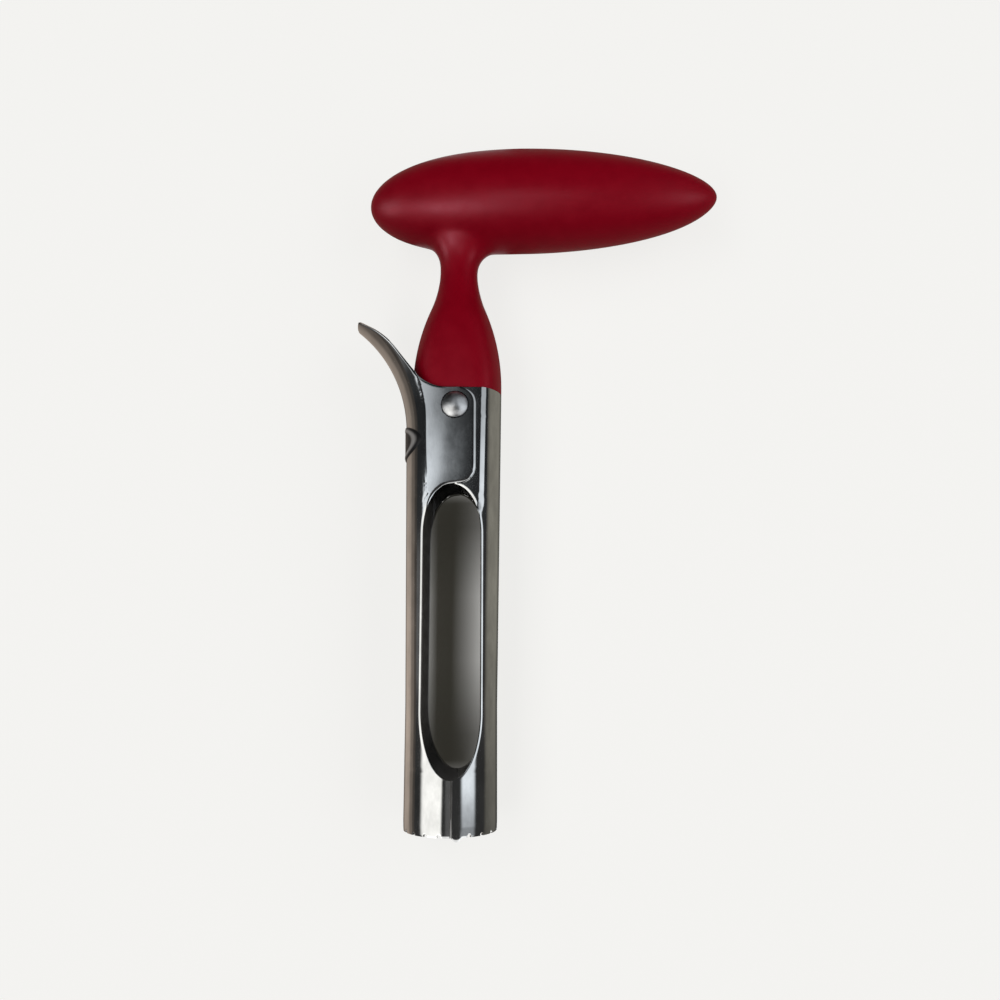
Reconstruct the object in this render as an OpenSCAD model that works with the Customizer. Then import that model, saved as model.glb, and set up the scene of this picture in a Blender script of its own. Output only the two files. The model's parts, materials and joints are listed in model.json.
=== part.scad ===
// Apple corer: a split steel tube on a T handle, with a sprung thumb lever that opens one half.
// The tube lies along Y, its mouth at the origin and its handle at +Y. Z is up from the table.

/* [Tube] */
// Length of the tube, from the cutting mouth to the neck
tube_l = 111; // [104:1:122]
// Outer radius of the tube at the mouth
mouth_r = 11.7; // [11:0.1:12.4]
// Outer radius of the tube where it meets the neck
tube_top_r = 12.8; // [12.5:0.1:13.4]
// Length of the straight stretch behind the mouth
straight_l = 30; // [16:1:60]
// Thickness of the steel sheet
sheet_t = 0.8; // [0.6:0.05:1]
// Width of the gap between the two half shells along their seam
seam_gap = 0.3; // [0.2:0.05:0.6]
// How far the outside of the mouth is ground in
edge_bevel = 0.35; // [0.1:0.05:0.5]
// Length of the ground bevel at the mouth
edge_l = 2; // [1:0.5:4]

/* [Mouth teeth] */
// Angle from one tooth to the next, degrees
tooth_pitch = 18; // [15:1:24]
// Radius of the notch between two teeth
notch_r = 0.5; // [0.3:0.1:0.8]
// Depth of the notch between two teeth
notch_d = 0.75; // [0.5:0.05:1.2]
// Radius of the rounded guide tooth beside the seam
guide_r = 1.3; // [1:0.1:1.6]
// How far the guide tooth stands past the mouth
guide_l = 0.9; // [0.4:0.1:1.2]

/* [Slots] */
// Distance from the mouth to the lower end of each slot
slot_start = 13; // [10:1:20]
// Distance from the mouth to the upper end of each slot
slot_end = 85.5; // [82:0.5:88]
// Offset of the slots from the tube's axis, towards the fixed half
slot_x = 0.5; // [0:0.1:1]
// Width of each slot
slot_w = 15; // [10:0.5:16]
// Width of the slot's blunt lower end
slot_tip_w = 5.2; // [3:0.2:8]
// Length over which the slot narrows at its lower end
slot_point_l = 15; // [10:1:22]
// Length of the slot's upper arch
slot_arch_l = 13; // [8:1:18]

/* [Lever] */
// Distance from the tube's axis to the outer face of the lever's flat ears
ear_z = 10.7; // [10.3:0.1:11]
// Distance from the tube's axis to the ears' straight edge
ear_x = 6.4; // [5.6:0.1:7]
// Radius of the ears' corners
ear_corner_r = 4.3; // [3:0.1:4.6]
// Slope of the ears' lower edge, degrees
ear_slope = 14; // [8:1:18]
// How far the ears reach past the pivot, towards the neck
ear_top = 4.8; // [4.2:0.1:5]
// Distance from the pivot back to where the thumb tongue starts to bend out
bend_back = 8.1; // [6:0.1:9]
// Radius of the bend, on the outside of the tongue
bend_r = 44; // [40:1:60]
// Angle that the tongue bends through, degrees
tongue_angle = 47; // [42:1:50]
// Radius of the curve from the ears into the tongue's edge
sweep_r = 11; // [8:0.5:13]
// Slope of the tongue's edge beside the neck, degrees
sweep_angle = 52; // [48:1:56]
// Length of the straight part of the tongue's edge
sweep_l = 9; // [7:0.5:11]
// Radius of the curve that narrows the tongue to its tip
tip_r = 25; // [20:1:30]
// Slope of the tongue's edge at the tip, degrees
tip_angle = 30; // [26:1:34]

/* [Badge] */
// Half width of the blank oval badge, across the lever
badge_a = 9; // [6:0.5:9]
// Half height of the blank oval badge, along the tube
badge_b = 4.6; // [3:0.2:5]
// Distance from the pivot back to the middle of the badge
badge_back = 8.7; // [7:0.1:12]
// Depth of the badge's recess
badge_t = 0.3; // [0.2:0.05:0.4]

/* [Pivot] */
// Offset of the pivot and of the seam from the tube's axis
pivot_x = 1; // [0:0.1:1.6]
// Distance from the neck's face back to the pivot
pivot_back = 4.9; // [4.7:0.1:6]
// Radius of the rivet's hollow post
post_r = 2; // [1.8:0.1:2.4]
// Radius of the rivet's pin, pressed into the post
pin_r = 1.2; // [0.8:0.1:1.4]
// Radius of the rivet's two domed heads
head_r = 3.6; // [3:0.05:3.8]
// Height of the rivet's two domed heads
head_h = 1.5; // [1:0.05:1.6]
// Running clearance between the post and what turns on it
pivot_fit = 0.05; // [0.02:0.01:0.1]
// Outer radius of the washers
washer_r = 4; // [3.4:0.1:4.2]
// Thickness of the washers
washer_t = 0.3; // [0.2:0.05:0.4]
// Play on each face of a washer, and under the rivet's heads
face_play = 0.05; // [0.03:0.01:0.1]
// Radius of the fixed shell's lobe round the pivot
lobe_r = 5; // [4.4:0.1:5.4]

/* [Return spring] */
// Diameter of the spring's wire
wire_d = 1; // [0.8:0.05:1.1]
// Radius of the coil, at the middle of the wire
coil_r = 3.6; // [3.3:0.1:3.8]
// Full turns of the coil
coil_turns = 4; // [3:1:4]
// Rise of the coil in one turn
coil_pitch = 1.45; // [1.35:0.05:1.5]
// Direction of the leg that pushes on the lever, degrees
leg_angle = 155; // [153:1:157]
// Length of the leg that rests in the plug
rest_leg_l = 7; // [4:0.5:8]
// Room round the spring in its pocket
spring_room = 0.4; // [0.2:0.05:0.6]

/* [Plug] */
// Length of the plug inside the tube
plug_l = 16; // [15:0.5:20]
// Distance from the tube's axis to the plug's open side, towards the lever
plug_open_x = 7; // [6:0.5:8]
// Clearance between the plug and the fixed shell
plug_fit = 0.05; // [0.03:0.01:0.15]

/* [Neck] */
// Offset of the neck from the tube's axis
neck_x = 0.8; // [0.4:0.1:1.2]
// Length of the straight collar of the neck
collar_l = 2; // [1:0.5:4]
// Distance from the tube to the neck's waist
waist_l = 35.5; // [32:0.5:40]
// Radius of the neck's waist
waist_r = 5; // [4.6:0.1:6.5]
// Share of the neck's curve that bulges before it hollows
bulge_share = 0.66; // [0.5:0.01:0.75]
// Length of the straight waist, up to the flare into the handle
waist_run = 1.2; // [0.5:0.1:2]
// Radius of the flare into the handle's short side
flare_short = 9; // [7:0.5:10]
// Radius of the flare into the handle's long side
flare_long = 5.5; // [4:0.5:7]
// Gap between the neck's face and the tube
neck_gap = 0.1; // [0.05:0.05:0.3]

/* [Handle] */
// Distance from the neck's waist to the handle's axis
handle_l = 20.9; // [19:0.1:23]
// Distance from the tube's axis to the thickest point of the handle
thick_x = 18; // [14:0.5:22]
// Length of the handle from its thickest point to its short end
short_l = 42; // [38:1:50]
// Length of the handle from its thickest point to its long end
long_l = 55.3; // [48:0.1:64]
// Diameter of the handle at its thickest point
handle_d = 28.6; // [27:0.1:31]
// Fullness of the short end
short_power = 2.5; // [2.2:0.1:3]
// Fullness of the long end
long_power = 2; // [2:0.1:2.6]
// Sharpness of the long end
long_exponent = 0.55; // [0.5:0.01:0.6]

/* [Handle core] */
// Radius of the core's bar
bar_r = 8.5; // [7:0.1:9]
// Distance from the handle's short end to the end of the bar's straight part
bar_short = 15; // [14:0.5:18]
// Distance from the handle's long end to the end of the bar's straight part
bar_long = 23; // [21:0.5:28]
// Radius of the core where the neck starts
spine_low_r = 7.5; // [7:0.1:7.6]
// Radius of the core in the waist
spine_r = 3.7; // [3.2:0.1:3.9]
// Radius of the steel rod through the waist
rod_r = 2; // [1.5:0.1:2.2]
// Distance from the tube to the rod's lower end
rod_start = 6; // [5:0.5:12]
// How far the rod reaches past the handle's axis
rod_past = 5; // [2:0.5:6]

/* [Hidden] */
$fn = 96;

// Overshoot of every cutting shape
over = 1;
// Reach of cutting shapes that go right through the object
far = 80;
// Segments along the outline of the handle
handle_rings = 28;
// Points along a curve of a flat outline
curve_steps = 10;

pivot_y = tube_l - pivot_back;
bend_y = pivot_y - bend_back;
badge_y = pivot_y - badge_back;
waist_y = tube_l + waist_l;
handle_y = waist_y + handle_l;
neck_r = tube_top_r - neck_x;

// Distances from the tube's axis to the faces of the stack at the pivot
ear_in_z = ear_z - sheet_t;
flat_z = ear_in_z - washer_t - 2 * face_play;
flat_in_z = flat_z - sheet_t;
plug_z = flat_in_z - plug_fit;
head_z = ear_z + face_play;

// The pressed flats start beside the slot's arch and reach full depth before the arch closes
flat_y = slot_end - 0.42 * slot_arch_l;
flat_ramp = 0.62 * slot_arch_l;

// Edges of the two halves along the seam, which lies on the pivot's line
fixed_edge_x = pivot_x + seam_gap / 2;
lever_edge_x = pivot_x - seam_gap / 2;

function tube_r(y) =
    y <= straight_l ? mouth_r
    : mouth_r + (tube_top_r - mouth_r) * (y - straight_l) / (tube_l - straight_l);

bend_tube_r = tube_r(bend_y);
bend_c = bend_r + bend_tube_r;

// Points of an arc, from angle a to angle b
function arc(x, y, r, a, b) =
    [for (i = [0 : curve_steps]) let (t = a + (b - a) * i / curve_steps)
        [x + r * cos(t), y + r * sin(t)]];

module along_y() {
    rotate([-90, 0, 0]) children();
}

module both_faces() {
    children();
    mirror([0, 0, 1]) children();
}

// Outside and inside of the tube, up to y

module tube_outside(y) {
    along_y() rotate_extrude()
        polygon([[0, 0], [mouth_r - edge_bevel, 0], [mouth_r, edge_l], [mouth_r, straight_l],
                 [tube_r(y), y], [0, y]]);
}

module tube_inside(y) {
    along_y() rotate_extrude()
        polygon([[0, -over], [mouth_r - sheet_t, -over], [mouth_r - sheet_t, straight_l],
                 [tube_r(y) - sheet_t, y], [0, y]]);
}

// Everything between two flats at distance z from the axis, with a ramp down to them

module between_flats(z) {
    ramp_y = flat_y - flat_ramp;
    half = [[-far, far], [ramp_y, far], [ramp_y, tube_top_r], [flat_y, z], [2 * far, z]];
    low = [for (i = [len(half) - 1 : -1 : 0]) [half[i][0], -half[i][1]]];
    rotate([90, 0, 90]) translate([0, 0, -far]) linear_extrude(2 * far)
        polygon(concat(half, low));
}

// Slot outline, right half, from its lower end to its upper end

slot_half = let (
        d = (slot_w - slot_tip_w) / 2,
        r = (d * d + slot_point_l * slot_point_l) / (2 * d),
        low = arc(slot_w / 2 - r, slot_start + slot_point_l, r, -asin(slot_point_l / r), 0),
        high = [for (i = [0 : curve_steps]) let (t = 90 * i / curve_steps)
            [slot_w / 2 * cos(t), slot_end - slot_arch_l + slot_arch_l * sin(t)]])
    concat(low, high);

module slot_cut() {
    left = [for (i = [len(slot_half) - 2 : -1 : 0]) [-slot_half[i][0], slot_half[i][1]]];
    translate([slot_x, 0, -far / 2]) linear_extrude(far) polygon(concat(slot_half, left));
}

// Notches between the mouth's teeth, on the side where side is 1 or -1. The guide teeth take the
// place of the first and last notches of the fixed half.

module notches(side) {
    first = tooth_pitch * (side > 0 ? 1.5 : 0.5);
    for (a = [first : tooth_pitch : 180 - first])
        rotate([0, side * a, 0]) translate([0, notch_d - notch_r, mouth_r / 2])
            cylinder(r = notch_r, h = mouth_r, $fn = 24);
}

// Hole for the rivet's post

module pivot_hole(fit) {
    translate([pivot_x, pivot_y, -far / 2]) cylinder(r = post_r + fit, h = far);
}

module fixed_outline() {
    translate([fixed_edge_x, -guide_r - over]) square([far, tube_l + guide_r + over]);
    translate([pivot_x, pivot_y]) circle(lobe_r);
}

module guide_teeth() {
    tooth_a = asin((fixed_edge_x + guide_r) / mouth_r);
    difference() {
        intersection() {
            along_y() translate([0, 0, -guide_l])
                cylinder(r = mouth_r - edge_bevel, h = guide_l + edge_l);
            both_faces() rotate([0, tooth_a, 0]) translate([0, guide_r - guide_l, mouth_r / 2])
                cylinder(r = guide_r, h = mouth_r);
        }
        tube_inside(edge_l + guide_r + straight_l);
    }
}

module fixed_body() {
    difference() {
        intersection() {
            tube_outside(tube_l);
            between_flats(flat_z);
        }
        intersection() {
            tube_inside(tube_l + over);
            between_flats(flat_in_z);
        }
        notches(1);
    }
}

module fixed_shell() {
    color("silver") difference() {
        intersection() {
            union() {
                fixed_body();
                guide_teeth();
            }
            translate([0, 0, -far / 2]) linear_extrude(far) fixed_outline();
        }
        slot_cut();
        pivot_hole(pivot_fit);
    }
}

// Lever: outline from above, right of the seam only at the ears

sweep_start = [-1, pivot_y + ear_top];
sweep_arc = [for (i = [0 : curve_steps]) let (t = sweep_angle * i / curve_steps)
    sweep_start + sweep_r * [-sin(t), 1 - cos(t)]];
sweep_line = sweep_arc[curve_steps] + sweep_l * [-cos(sweep_angle), sin(sweep_angle)];
tip_arc = [for (i = [0 : curve_steps])
    let (t = sweep_angle + (tip_angle - sweep_angle) * i / curve_steps)
    sweep_line + tip_r * [sin(t) - sin(sweep_angle), cos(t) - cos(sweep_angle)]];
tip_end = tip_arc[curve_steps] + far * [-cos(tip_angle), sin(tip_angle)];

// The ears' lower edge runs from the slot's arch, where both have the same slope

arch_a = atan(tan(ear_slope) * slot_w / 2 / slot_arch_l);
arch_mid_y = slot_end - slot_arch_l;
low_edge = [slot_x - slot_w / 2 * sin(arch_a), arch_mid_y + slot_arch_l * cos(arch_a)];
ear_corner_x = ear_x - ear_corner_r;
ear_corner_y = low_edge[1] + ear_corner_r * cos(ear_slope)
    + (ear_corner_x + ear_corner_r * sin(ear_slope) - low_edge[0]) * tan(ear_slope);

module lever_outline() {
    polygon(concat(
        [[-2 * far, -over], [lever_edge_x, -over], [lever_edge_x, arch_mid_y],
         [low_edge[0], arch_mid_y], low_edge - [0, sheet_t / 16]],
        arc(ear_corner_x, ear_corner_y, ear_corner_r, ear_slope - 90, 0),
        arc(ear_corner_x, sweep_start[1] - ear_corner_r, ear_corner_r, 0, 90),
        sweep_arc, tip_arc, [tip_end, [-2 * far, tip_end[1]]]));
}

module bend(r, extra) {
    translate([-bend_c, bend_y, 0]) rotate_extrude(angle = tongue_angle + extra)
        translate([bend_c, 0]) circle(r);
}

// The ears stay flat right of the bend

module ear_block() {
    translate([-ear_x / 2, bend_y - over, -far / 2]) cube([far, far, far]);
}

module lever_outside() {
    intersection() {
        union() {
            tube_outside(bend_y);
            bend(bend_tube_r, 0);
            ear_block();
        }
        between_flats(ear_z);
    }
}

module lever_inside() {
    intersection() {
        union() {
            tube_inside(bend_y);
            bend(bend_tube_r - sheet_t, over);
            ear_block();
        }
        between_flats(ear_in_z);
    }
}

module badge_prism() {
    oval = [for (a = [0 : 10 : 350]) [badge_b * cos(a), badge_a * sin(a)]];
    translate([-far / 2, badge_y, 0]) rotate([90, 0, 90]) linear_extrude(far / 2) polygon(oval);
}

// The lever's outside, set back by the depth of the badge's recess

module badge_floor() {
    along_y() rotate_extrude()
        polygon([[0, straight_l], [mouth_r - badge_t, straight_l],
                 [bend_tube_r - badge_t, bend_y], [0, bend_y]]);
    bend(bend_tube_r - badge_t, 0);
}

module lever_shell() {
    color("silver") difference() {
        intersection() {
            lever_outside();
            translate([0, 0, -far / 2]) linear_extrude(far) lever_outline();
        }
        lever_inside();
        notches(-1);
        slot_cut();
        pivot_hole(pivot_fit);
        difference() {
            badge_prism();
            badge_floor();
        }
    }
}

module lever_badge() {
    color("black") difference() {
        intersection() {
            lever_outside();
            badge_prism();
        }
        badge_floor();
    }
}

// Rivet: a hollow post with the rear head, and a pin with the front head pressed into it

module domed_head() {
    dome_r = (head_r * head_r + head_h * head_h) / (2 * head_h);
    low = asin((dome_r - head_h) / dome_r);
    translate([pivot_x, pivot_y, head_z]) rotate_extrude()
        polygon(concat([[0, 0]], arc(0, head_h - dome_r, dome_r, low, 90)));
}

module rivet_post() {
    color("silver") difference() {
        union() {
            translate([pivot_x, pivot_y, -head_z]) cylinder(r = post_r, h = 2 * head_z);
            mirror([0, 0, 1]) domed_head();
        }
        translate([pivot_x, pivot_y, -flat_z]) cylinder(r = pin_r, h = far);
    }
}

module rivet_pin() {
    color("gainsboro") union() {
        translate([pivot_x, pivot_y, face_play - flat_z])
            cylinder(r = pin_r, h = head_z + flat_z - face_play);
        domed_head();
    }
}

module washer() {
    translate([pivot_x, pivot_y, flat_z + face_play]) difference() {
        cylinder(r = washer_r, h = washer_t);
        translate([0, 0, -over]) cylinder(r = post_r + pivot_fit, h = washer_t + 2 * over);
    }
}

module front_washer() {
    color("white") washer();
}

module rear_washer() {
    color("white") mirror([0, 0, 1]) washer();
}

// Return spring: one wire from its resting leg, round the coil, to the leg that pushes the lever

wire_r = wire_d / 2;
wire_sides = 6;
curl_rings = 16;
leave_a = leg_angle - 90;
coil_sweep = 360 * coil_turns + leave_a;
coil_rise = coil_pitch * coil_sweep / 360;
coil_low = -coil_rise / 2;
leave_x = pivot_x + coil_r * cos(leave_a);
leave_y = pivot_y + coil_r * sin(leave_a);

// Distance left between the middle of the pushing leg's end and the lever's wall
leg_gap = 1.2 * wire_r;
leg_wall_r = bend_c - sqrt(pow(bend_tube_r - sheet_t, 2) - pow(coil_rise / 2 + wire_r, 2));
function leg_point(l) = [leave_x + l * cos(leg_angle), leave_y + l * sin(leg_angle)];
function wall_gap(l) = let (p = leg_point(l)) norm([p[0] + bend_c, p[1] - bend_y]) - leg_wall_r;
// The leg's length is found by halving, between a length inside the lever and one past it
function reach(a, b, n) = let (m = (a + b) / 2)
    n == 0 ? m : wall_gap(m) > leg_gap ? reach(m, b, n - 1) : reach(a, m, n - 1);
push_leg_l = reach(5, 40, 30);

coil_points = [for (a = [0 : 360 / curl_rings : coil_sweep])
    [pivot_x + coil_r * cos(a), pivot_y + coil_r * sin(a), coil_low + coil_rise * a / coil_sweep]];
push_end = leg_point(push_leg_l);
wire_points = concat(
    [[pivot_x + coil_r, pivot_y - rest_leg_l, coil_low]], coil_points,
    [[leave_x, leave_y, -coil_low], [push_end[0], push_end[1], -coil_low]]);

function unit(v) = v / norm(v);
function path_dir(p, i) = unit(p[min(i + 1, len(p) - 1)] - p[max(i - 1, 0)]);
function wire_ring(p, i) = let (
        d = path_dir(p, i),
        side = unit(cross(d, [0, 0, 1])),
        up = cross(side, d))
    [for (k = [0 : wire_sides - 1]) let (t = 360 * k / wire_sides)
        p[i] + wire_r * (cos(t) * side + sin(t) * up)];

// Solid through a list of rings of equal length, closed by a fan on the first and last ring

module loft(rings) {
    m = len(rings[0]);
    n = len(rings);
    points = [for (r = rings) each r];
    sides = [for (i = [0 : n - 2], j = [0 : m - 1]) let (k = (j + 1) % m)
        each [[i * m + j, i * m + k, (i + 1) * m + j], [i * m + k, (i + 1) * m + k, (i + 1) * m + j]]];
    first = [for (j = [1 : m - 2]) [0, j + 1, j]];
    last = [for (j = [1 : m - 2]) [(n - 1) * m, (n - 1) * m + j, (n - 1) * m + j + 1]];
    polyhedron(points, concat(sides, first, last));
}

// Least gap of the wire to itself, measured between points more than half a turn apart
spring_gap = min([for (i = [0 : len(wire_points) - 1])
    for (j = [i + curl_rings / 2 : 1 : len(wire_points) - 1])
        norm(wire_points[i] - wire_points[j])]) - wire_d;
echo(spring_gap = spring_gap);

module return_spring() {
    color("dimgray") loft([for (i = [len(wire_points) - 1 : -1 : 0]) wire_ring(wire_points, i)]);
}

// Handle core: bar, spine through the neck, and the plug that the fixed shell is riveted to

module bar() {
    x0 = thick_x - short_l + bar_short;
    x1 = thick_x + long_l - bar_long;
    translate([0, handle_y, 0]) rotate([0, 90, 0]) rotate_extrude()
        polygon(concat(arc(0, x0, bar_r, -90, 0), arc(0, x1, bar_r, 0, 90)));
}

module spine() {
    translate([neck_x, 0, 0]) along_y() rotate_extrude()
        polygon([[0, tube_l - over], [spine_low_r, tube_l - over], [spine_r, waist_y - over],
                 [spine_r, handle_y], [0, handle_y]]);
}

module plug() {
    y0 = tube_l - plug_l;
    intersection() {
        along_y() rotate_extrude()
            polygon([[0, y0], [tube_r(y0) - sheet_t - plug_fit, y0],
                     [tube_r(tube_l) - sheet_t - plug_fit, tube_l], [0, tube_l]]);
        translate([-plug_open_x, y0, -plug_z]) cube([far, plug_l, 2 * plug_z]);
    }
}

// The slit for the pushing leg starts here, left of the rod
slit_x = neck_x - rod_r - over;

module spring_pocket() {
    depth = coil_rise / 2 + wire_r + spring_room;
    right = pivot_x + coil_r + wire_r + spring_room;
    low = pivot_y - rest_leg_l - spring_room;
    high = leave_y + (leave_x - slit_x) * tan(180 - leg_angle) + 2 * wire_r + spring_room;
    translate([-far, low, -depth]) cube([far + right, high - low, 2 * depth]);
}

// Slit through the neck for the pushing leg, long enough for its swing

module leg_slit() {
    half = wire_r + 0.6 * spring_room;
    low = tube_l - 2 * over;
    translate([slit_x - far, low, -coil_low - half]) cube([far, push_end[1] + 4 - low, 2 * half]);
}

module handle_core() {
    color("dimgray") difference() {
        union() {
            bar();
            spine();
            plug();
        }
        spring_pocket();
        leg_slit();
        pivot_hole(pivot_fit);
        rod();
    }
}

module rod() {
    translate([neck_x, tube_l + rod_start, 0]) along_y()
        cylinder(r = rod_r, h = handle_y + rod_past - tube_l - rod_start);
}

module neck_rod() {
    color("silver") rod();
}

// Grip: soft skin over the core, a tapered bar and a neck

function bar_share(u) =
    u < 0 ? sqrt(1 - pow(-u, short_power)) : pow(1 - pow(u, long_power), long_exponent);

// The bar's outline, with its points closest at the ends
bar_outline = [for (i = [0 : handle_rings]) let (u = -cos(180 * i / handle_rings))
    [handle_d / 2 * bar_share(u), thick_x + (u < 0 ? short_l : long_l) * u]];

module grip_bar() {
    translate([0, handle_y, 0]) rotate([0, 90, 0]) rotate_extrude() polygon(bar_outline);
}

// The neck's half width: a collar, a bulging arc, a hollow arc and a straight waist
neck_rise = waist_l - collar_l;
neck_turn = 2 * atan((neck_r - waist_r) / neck_rise);
bulge_r = neck_rise * bulge_share / sin(neck_turn);
hollow_r = neck_rise * (1 - bulge_share) / sin(neck_turn);
neck_outline = concat(
    [[0, tube_l + neck_gap], [neck_r, tube_l + neck_gap]],
    arc(neck_r - bulge_r, tube_l + collar_l, bulge_r, 0, neck_turn),
    arc(waist_r + hollow_r, waist_y, hollow_r, 180 + neck_turn, 180),
    [[waist_r, handle_y], [0, handle_y]]);

module grip_neck() {
    intersection() {
        translate([neck_x, 0, 0]) along_y() rotate_extrude() polygon(neck_outline);
        translate([-far, 0, -flat_z]) cube([2 * far, handle_y, 2 * flat_z]);
    }
}

// Half of the flare into the handle, on the side that side points to
flare_z = waist_r - 0.1;

module flare(r, turn, side) {
    flare_y = waist_y + waist_run;
    rim = waist_r + r * (1 - cos(turn));
    intersection() {
        translate([neck_x, 0, 0]) along_y() rotate_extrude()
            polygon(concat([[0, flare_y]], arc(waist_r + r, flare_y, r, 180, 180 - turn),
                           [[rim, handle_y - rim / 2], [0, handle_y - rim / 2]]));
        translate([neck_x + (side - 1) * far / 2, 0, -flare_z]) cube([far, handle_y, 2 * flare_z]);
    }
}

module grip_skin() {
    color("darkred") difference() {
        union() {
            grip_bar();
            grip_neck();
            flare(flare_short, 68, -1);
            flare(flare_long, 84, 1);
        }
        bar();
        spine();
        leg_slit();
    }
}

grip_skin();
handle_core();
neck_rod();
fixed_shell();
lever_shell();
lever_badge();
rivet_post();
rivet_pin();
front_washer();
rear_washer();
return_spring();
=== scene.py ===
"""Apple corer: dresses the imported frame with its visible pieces, finishes and a plain studio."""

import json
import math

import bpy
import numpy as np
from mathutils import Matrix, Vector


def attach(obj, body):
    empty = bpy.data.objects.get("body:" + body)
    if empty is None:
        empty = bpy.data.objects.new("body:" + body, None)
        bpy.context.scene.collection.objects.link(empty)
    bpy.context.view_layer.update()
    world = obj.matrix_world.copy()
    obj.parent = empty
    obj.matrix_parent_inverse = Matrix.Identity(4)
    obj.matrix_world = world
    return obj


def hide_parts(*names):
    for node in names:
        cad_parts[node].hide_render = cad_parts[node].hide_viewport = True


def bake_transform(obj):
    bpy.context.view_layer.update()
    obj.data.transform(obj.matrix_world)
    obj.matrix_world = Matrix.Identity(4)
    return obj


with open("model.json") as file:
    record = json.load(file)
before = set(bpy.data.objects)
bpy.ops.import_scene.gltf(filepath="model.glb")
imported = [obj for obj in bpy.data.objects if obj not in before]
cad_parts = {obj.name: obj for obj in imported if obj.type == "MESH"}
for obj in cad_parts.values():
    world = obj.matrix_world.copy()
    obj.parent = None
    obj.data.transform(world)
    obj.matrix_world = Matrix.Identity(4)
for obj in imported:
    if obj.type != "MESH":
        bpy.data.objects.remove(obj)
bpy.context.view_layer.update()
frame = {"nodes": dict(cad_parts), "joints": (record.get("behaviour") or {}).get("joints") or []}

bl_info = {
    "name": "Apple corer",
    "version": (1, 0, 0),
    "blender": (4, 5, 0),
    "location": "View3D > Sidebar > Corer",
    "description": "Builds the corer's grip, steel halves, rivet, badge, spring and studio",
    "category": "Object",
}

MM = 0.001
PIVOT = Vector(frame["joints"][0]["pos_m"]) / MM


def length(name, description, default_mm):
    """A length setting, given in millimetres and kept in metres."""
    return bpy.props.FloatProperty(
        name=name, description=description, default=default_mm * MM,
        min=0.0, unit="LENGTH", subtype="DISTANCE", precision=5)


def angle(name, description, default_deg):
    """An angle setting, given in degrees."""
    return bpy.props.FloatProperty(
        name=name, description=description, default=math.radians(default_deg),
        unit="ROTATION", subtype="ANGLE")


def share(name, description, default):
    """A setting from 0 to 1."""
    return bpy.props.FloatProperty(
        name=name, description=description, default=default, min=0.0, max=1.0, subtype="FACTOR")


def colour(name, description, default):
    """A linear colour setting."""
    return bpy.props.FloatVectorProperty(
        name=name, description=description, default=default, size=3, min=0.0, max=1.0,
        subtype="COLOR")


class CorerTubeSettings(bpy.types.PropertyGroup):
    """Sizes of the split steel tube and its slots"""

    tube_l: length("Tube length", "From the mouth to the neck", 111)
    straight_l: length("Straight length", "Straight stretch behind the mouth", 30)
    mouth_r: length("Mouth radius", "Outer radius at the mouth", 11.7)
    top_r: length("Top radius", "Outer radius at the neck", 12.8)
    sheet_t: length("Sheet", "Thickness of the steel", 0.8)
    seam_gap: length("Seam gap", "Gap between the two halves", 0.12)
    seam_line: length("Seam line", "Width of the dark line along the seam", 0.6)
    rim_w: length("Rim width", "Rounding of the sheet's cut edges", 0.16)
    roll_w: length("Rolled rim", "Width of the sheet's worn rim", 0.6)
    roll_d: length("Roll depth", "How far the worn rim turns in", 0.17)
    roll_run: length("Roll run", "Length over which the worn rim sets in", 3)
    fixed_crease_r: length("Fixed crease", "Rounding of the fixed half's pressed creases", 2.3)
    lever_crease_r: length("Lever crease", "Rounding of the lever's pressed creases", 0.5)
    fixed_flat: length("Fixed flat", "From the axis to the fixed half's flats", 9.5)
    lever_flat: length("Lever flat", "From the axis to the lever's flats", 10.7)
    flat_y: length("Flat start", "Where the flats reach their full depth", 80.04)
    flat_ramp: length("Flat ramp", "Length of the run into the flats", 8.06)
    slot_start: length("Slot start", "From the mouth to the slot", 13)
    slot_end: length("Slot end", "From the mouth to the slot's upper end", 85.5)
    slot_x: length("Slot offset", "From the tube's axis to the slots' middle", 0.5)
    slot_w: length("Slot width", "Width of the slot", 15)
    slot_lean: length("Slot lean", "How far the slots' points lean to the seam", 0.2)
    slot_point_l: length("Slot point", "Length over which the slot narrows", 16)
    slot_round: share("Slot rounding", "How round the slots' points are", 0.5)
    slot_arch_l: length("Slot arch", "Length of the slot's upper arch", 13)
    tooth_pitch: angle("Tooth pitch", "Angle from one mouth tooth to the next", 18)
    notch_r: length("Notch radius", "Radius of the notch between two teeth", 0.5)
    notch_d: length("Notch depth", "Depth of the notch between two teeth", 0.75)
    guide_r: length("Guide tooth radius", "Radius of the rounded guide tooth", 1.3)
    guide_l: length("Guide tooth reach", "How far the guide tooth stands out", 0.9)
    guide_root: length("Guide tooth root", "How far up the tube the tooth's root reaches", 2.5)
    bevel_in: length("Mouth bevel", "How far the mouth is ground in", 0.08)
    bevel_l: length("Mouth bevel length", "Length of the ground bevel", 2)


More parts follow.
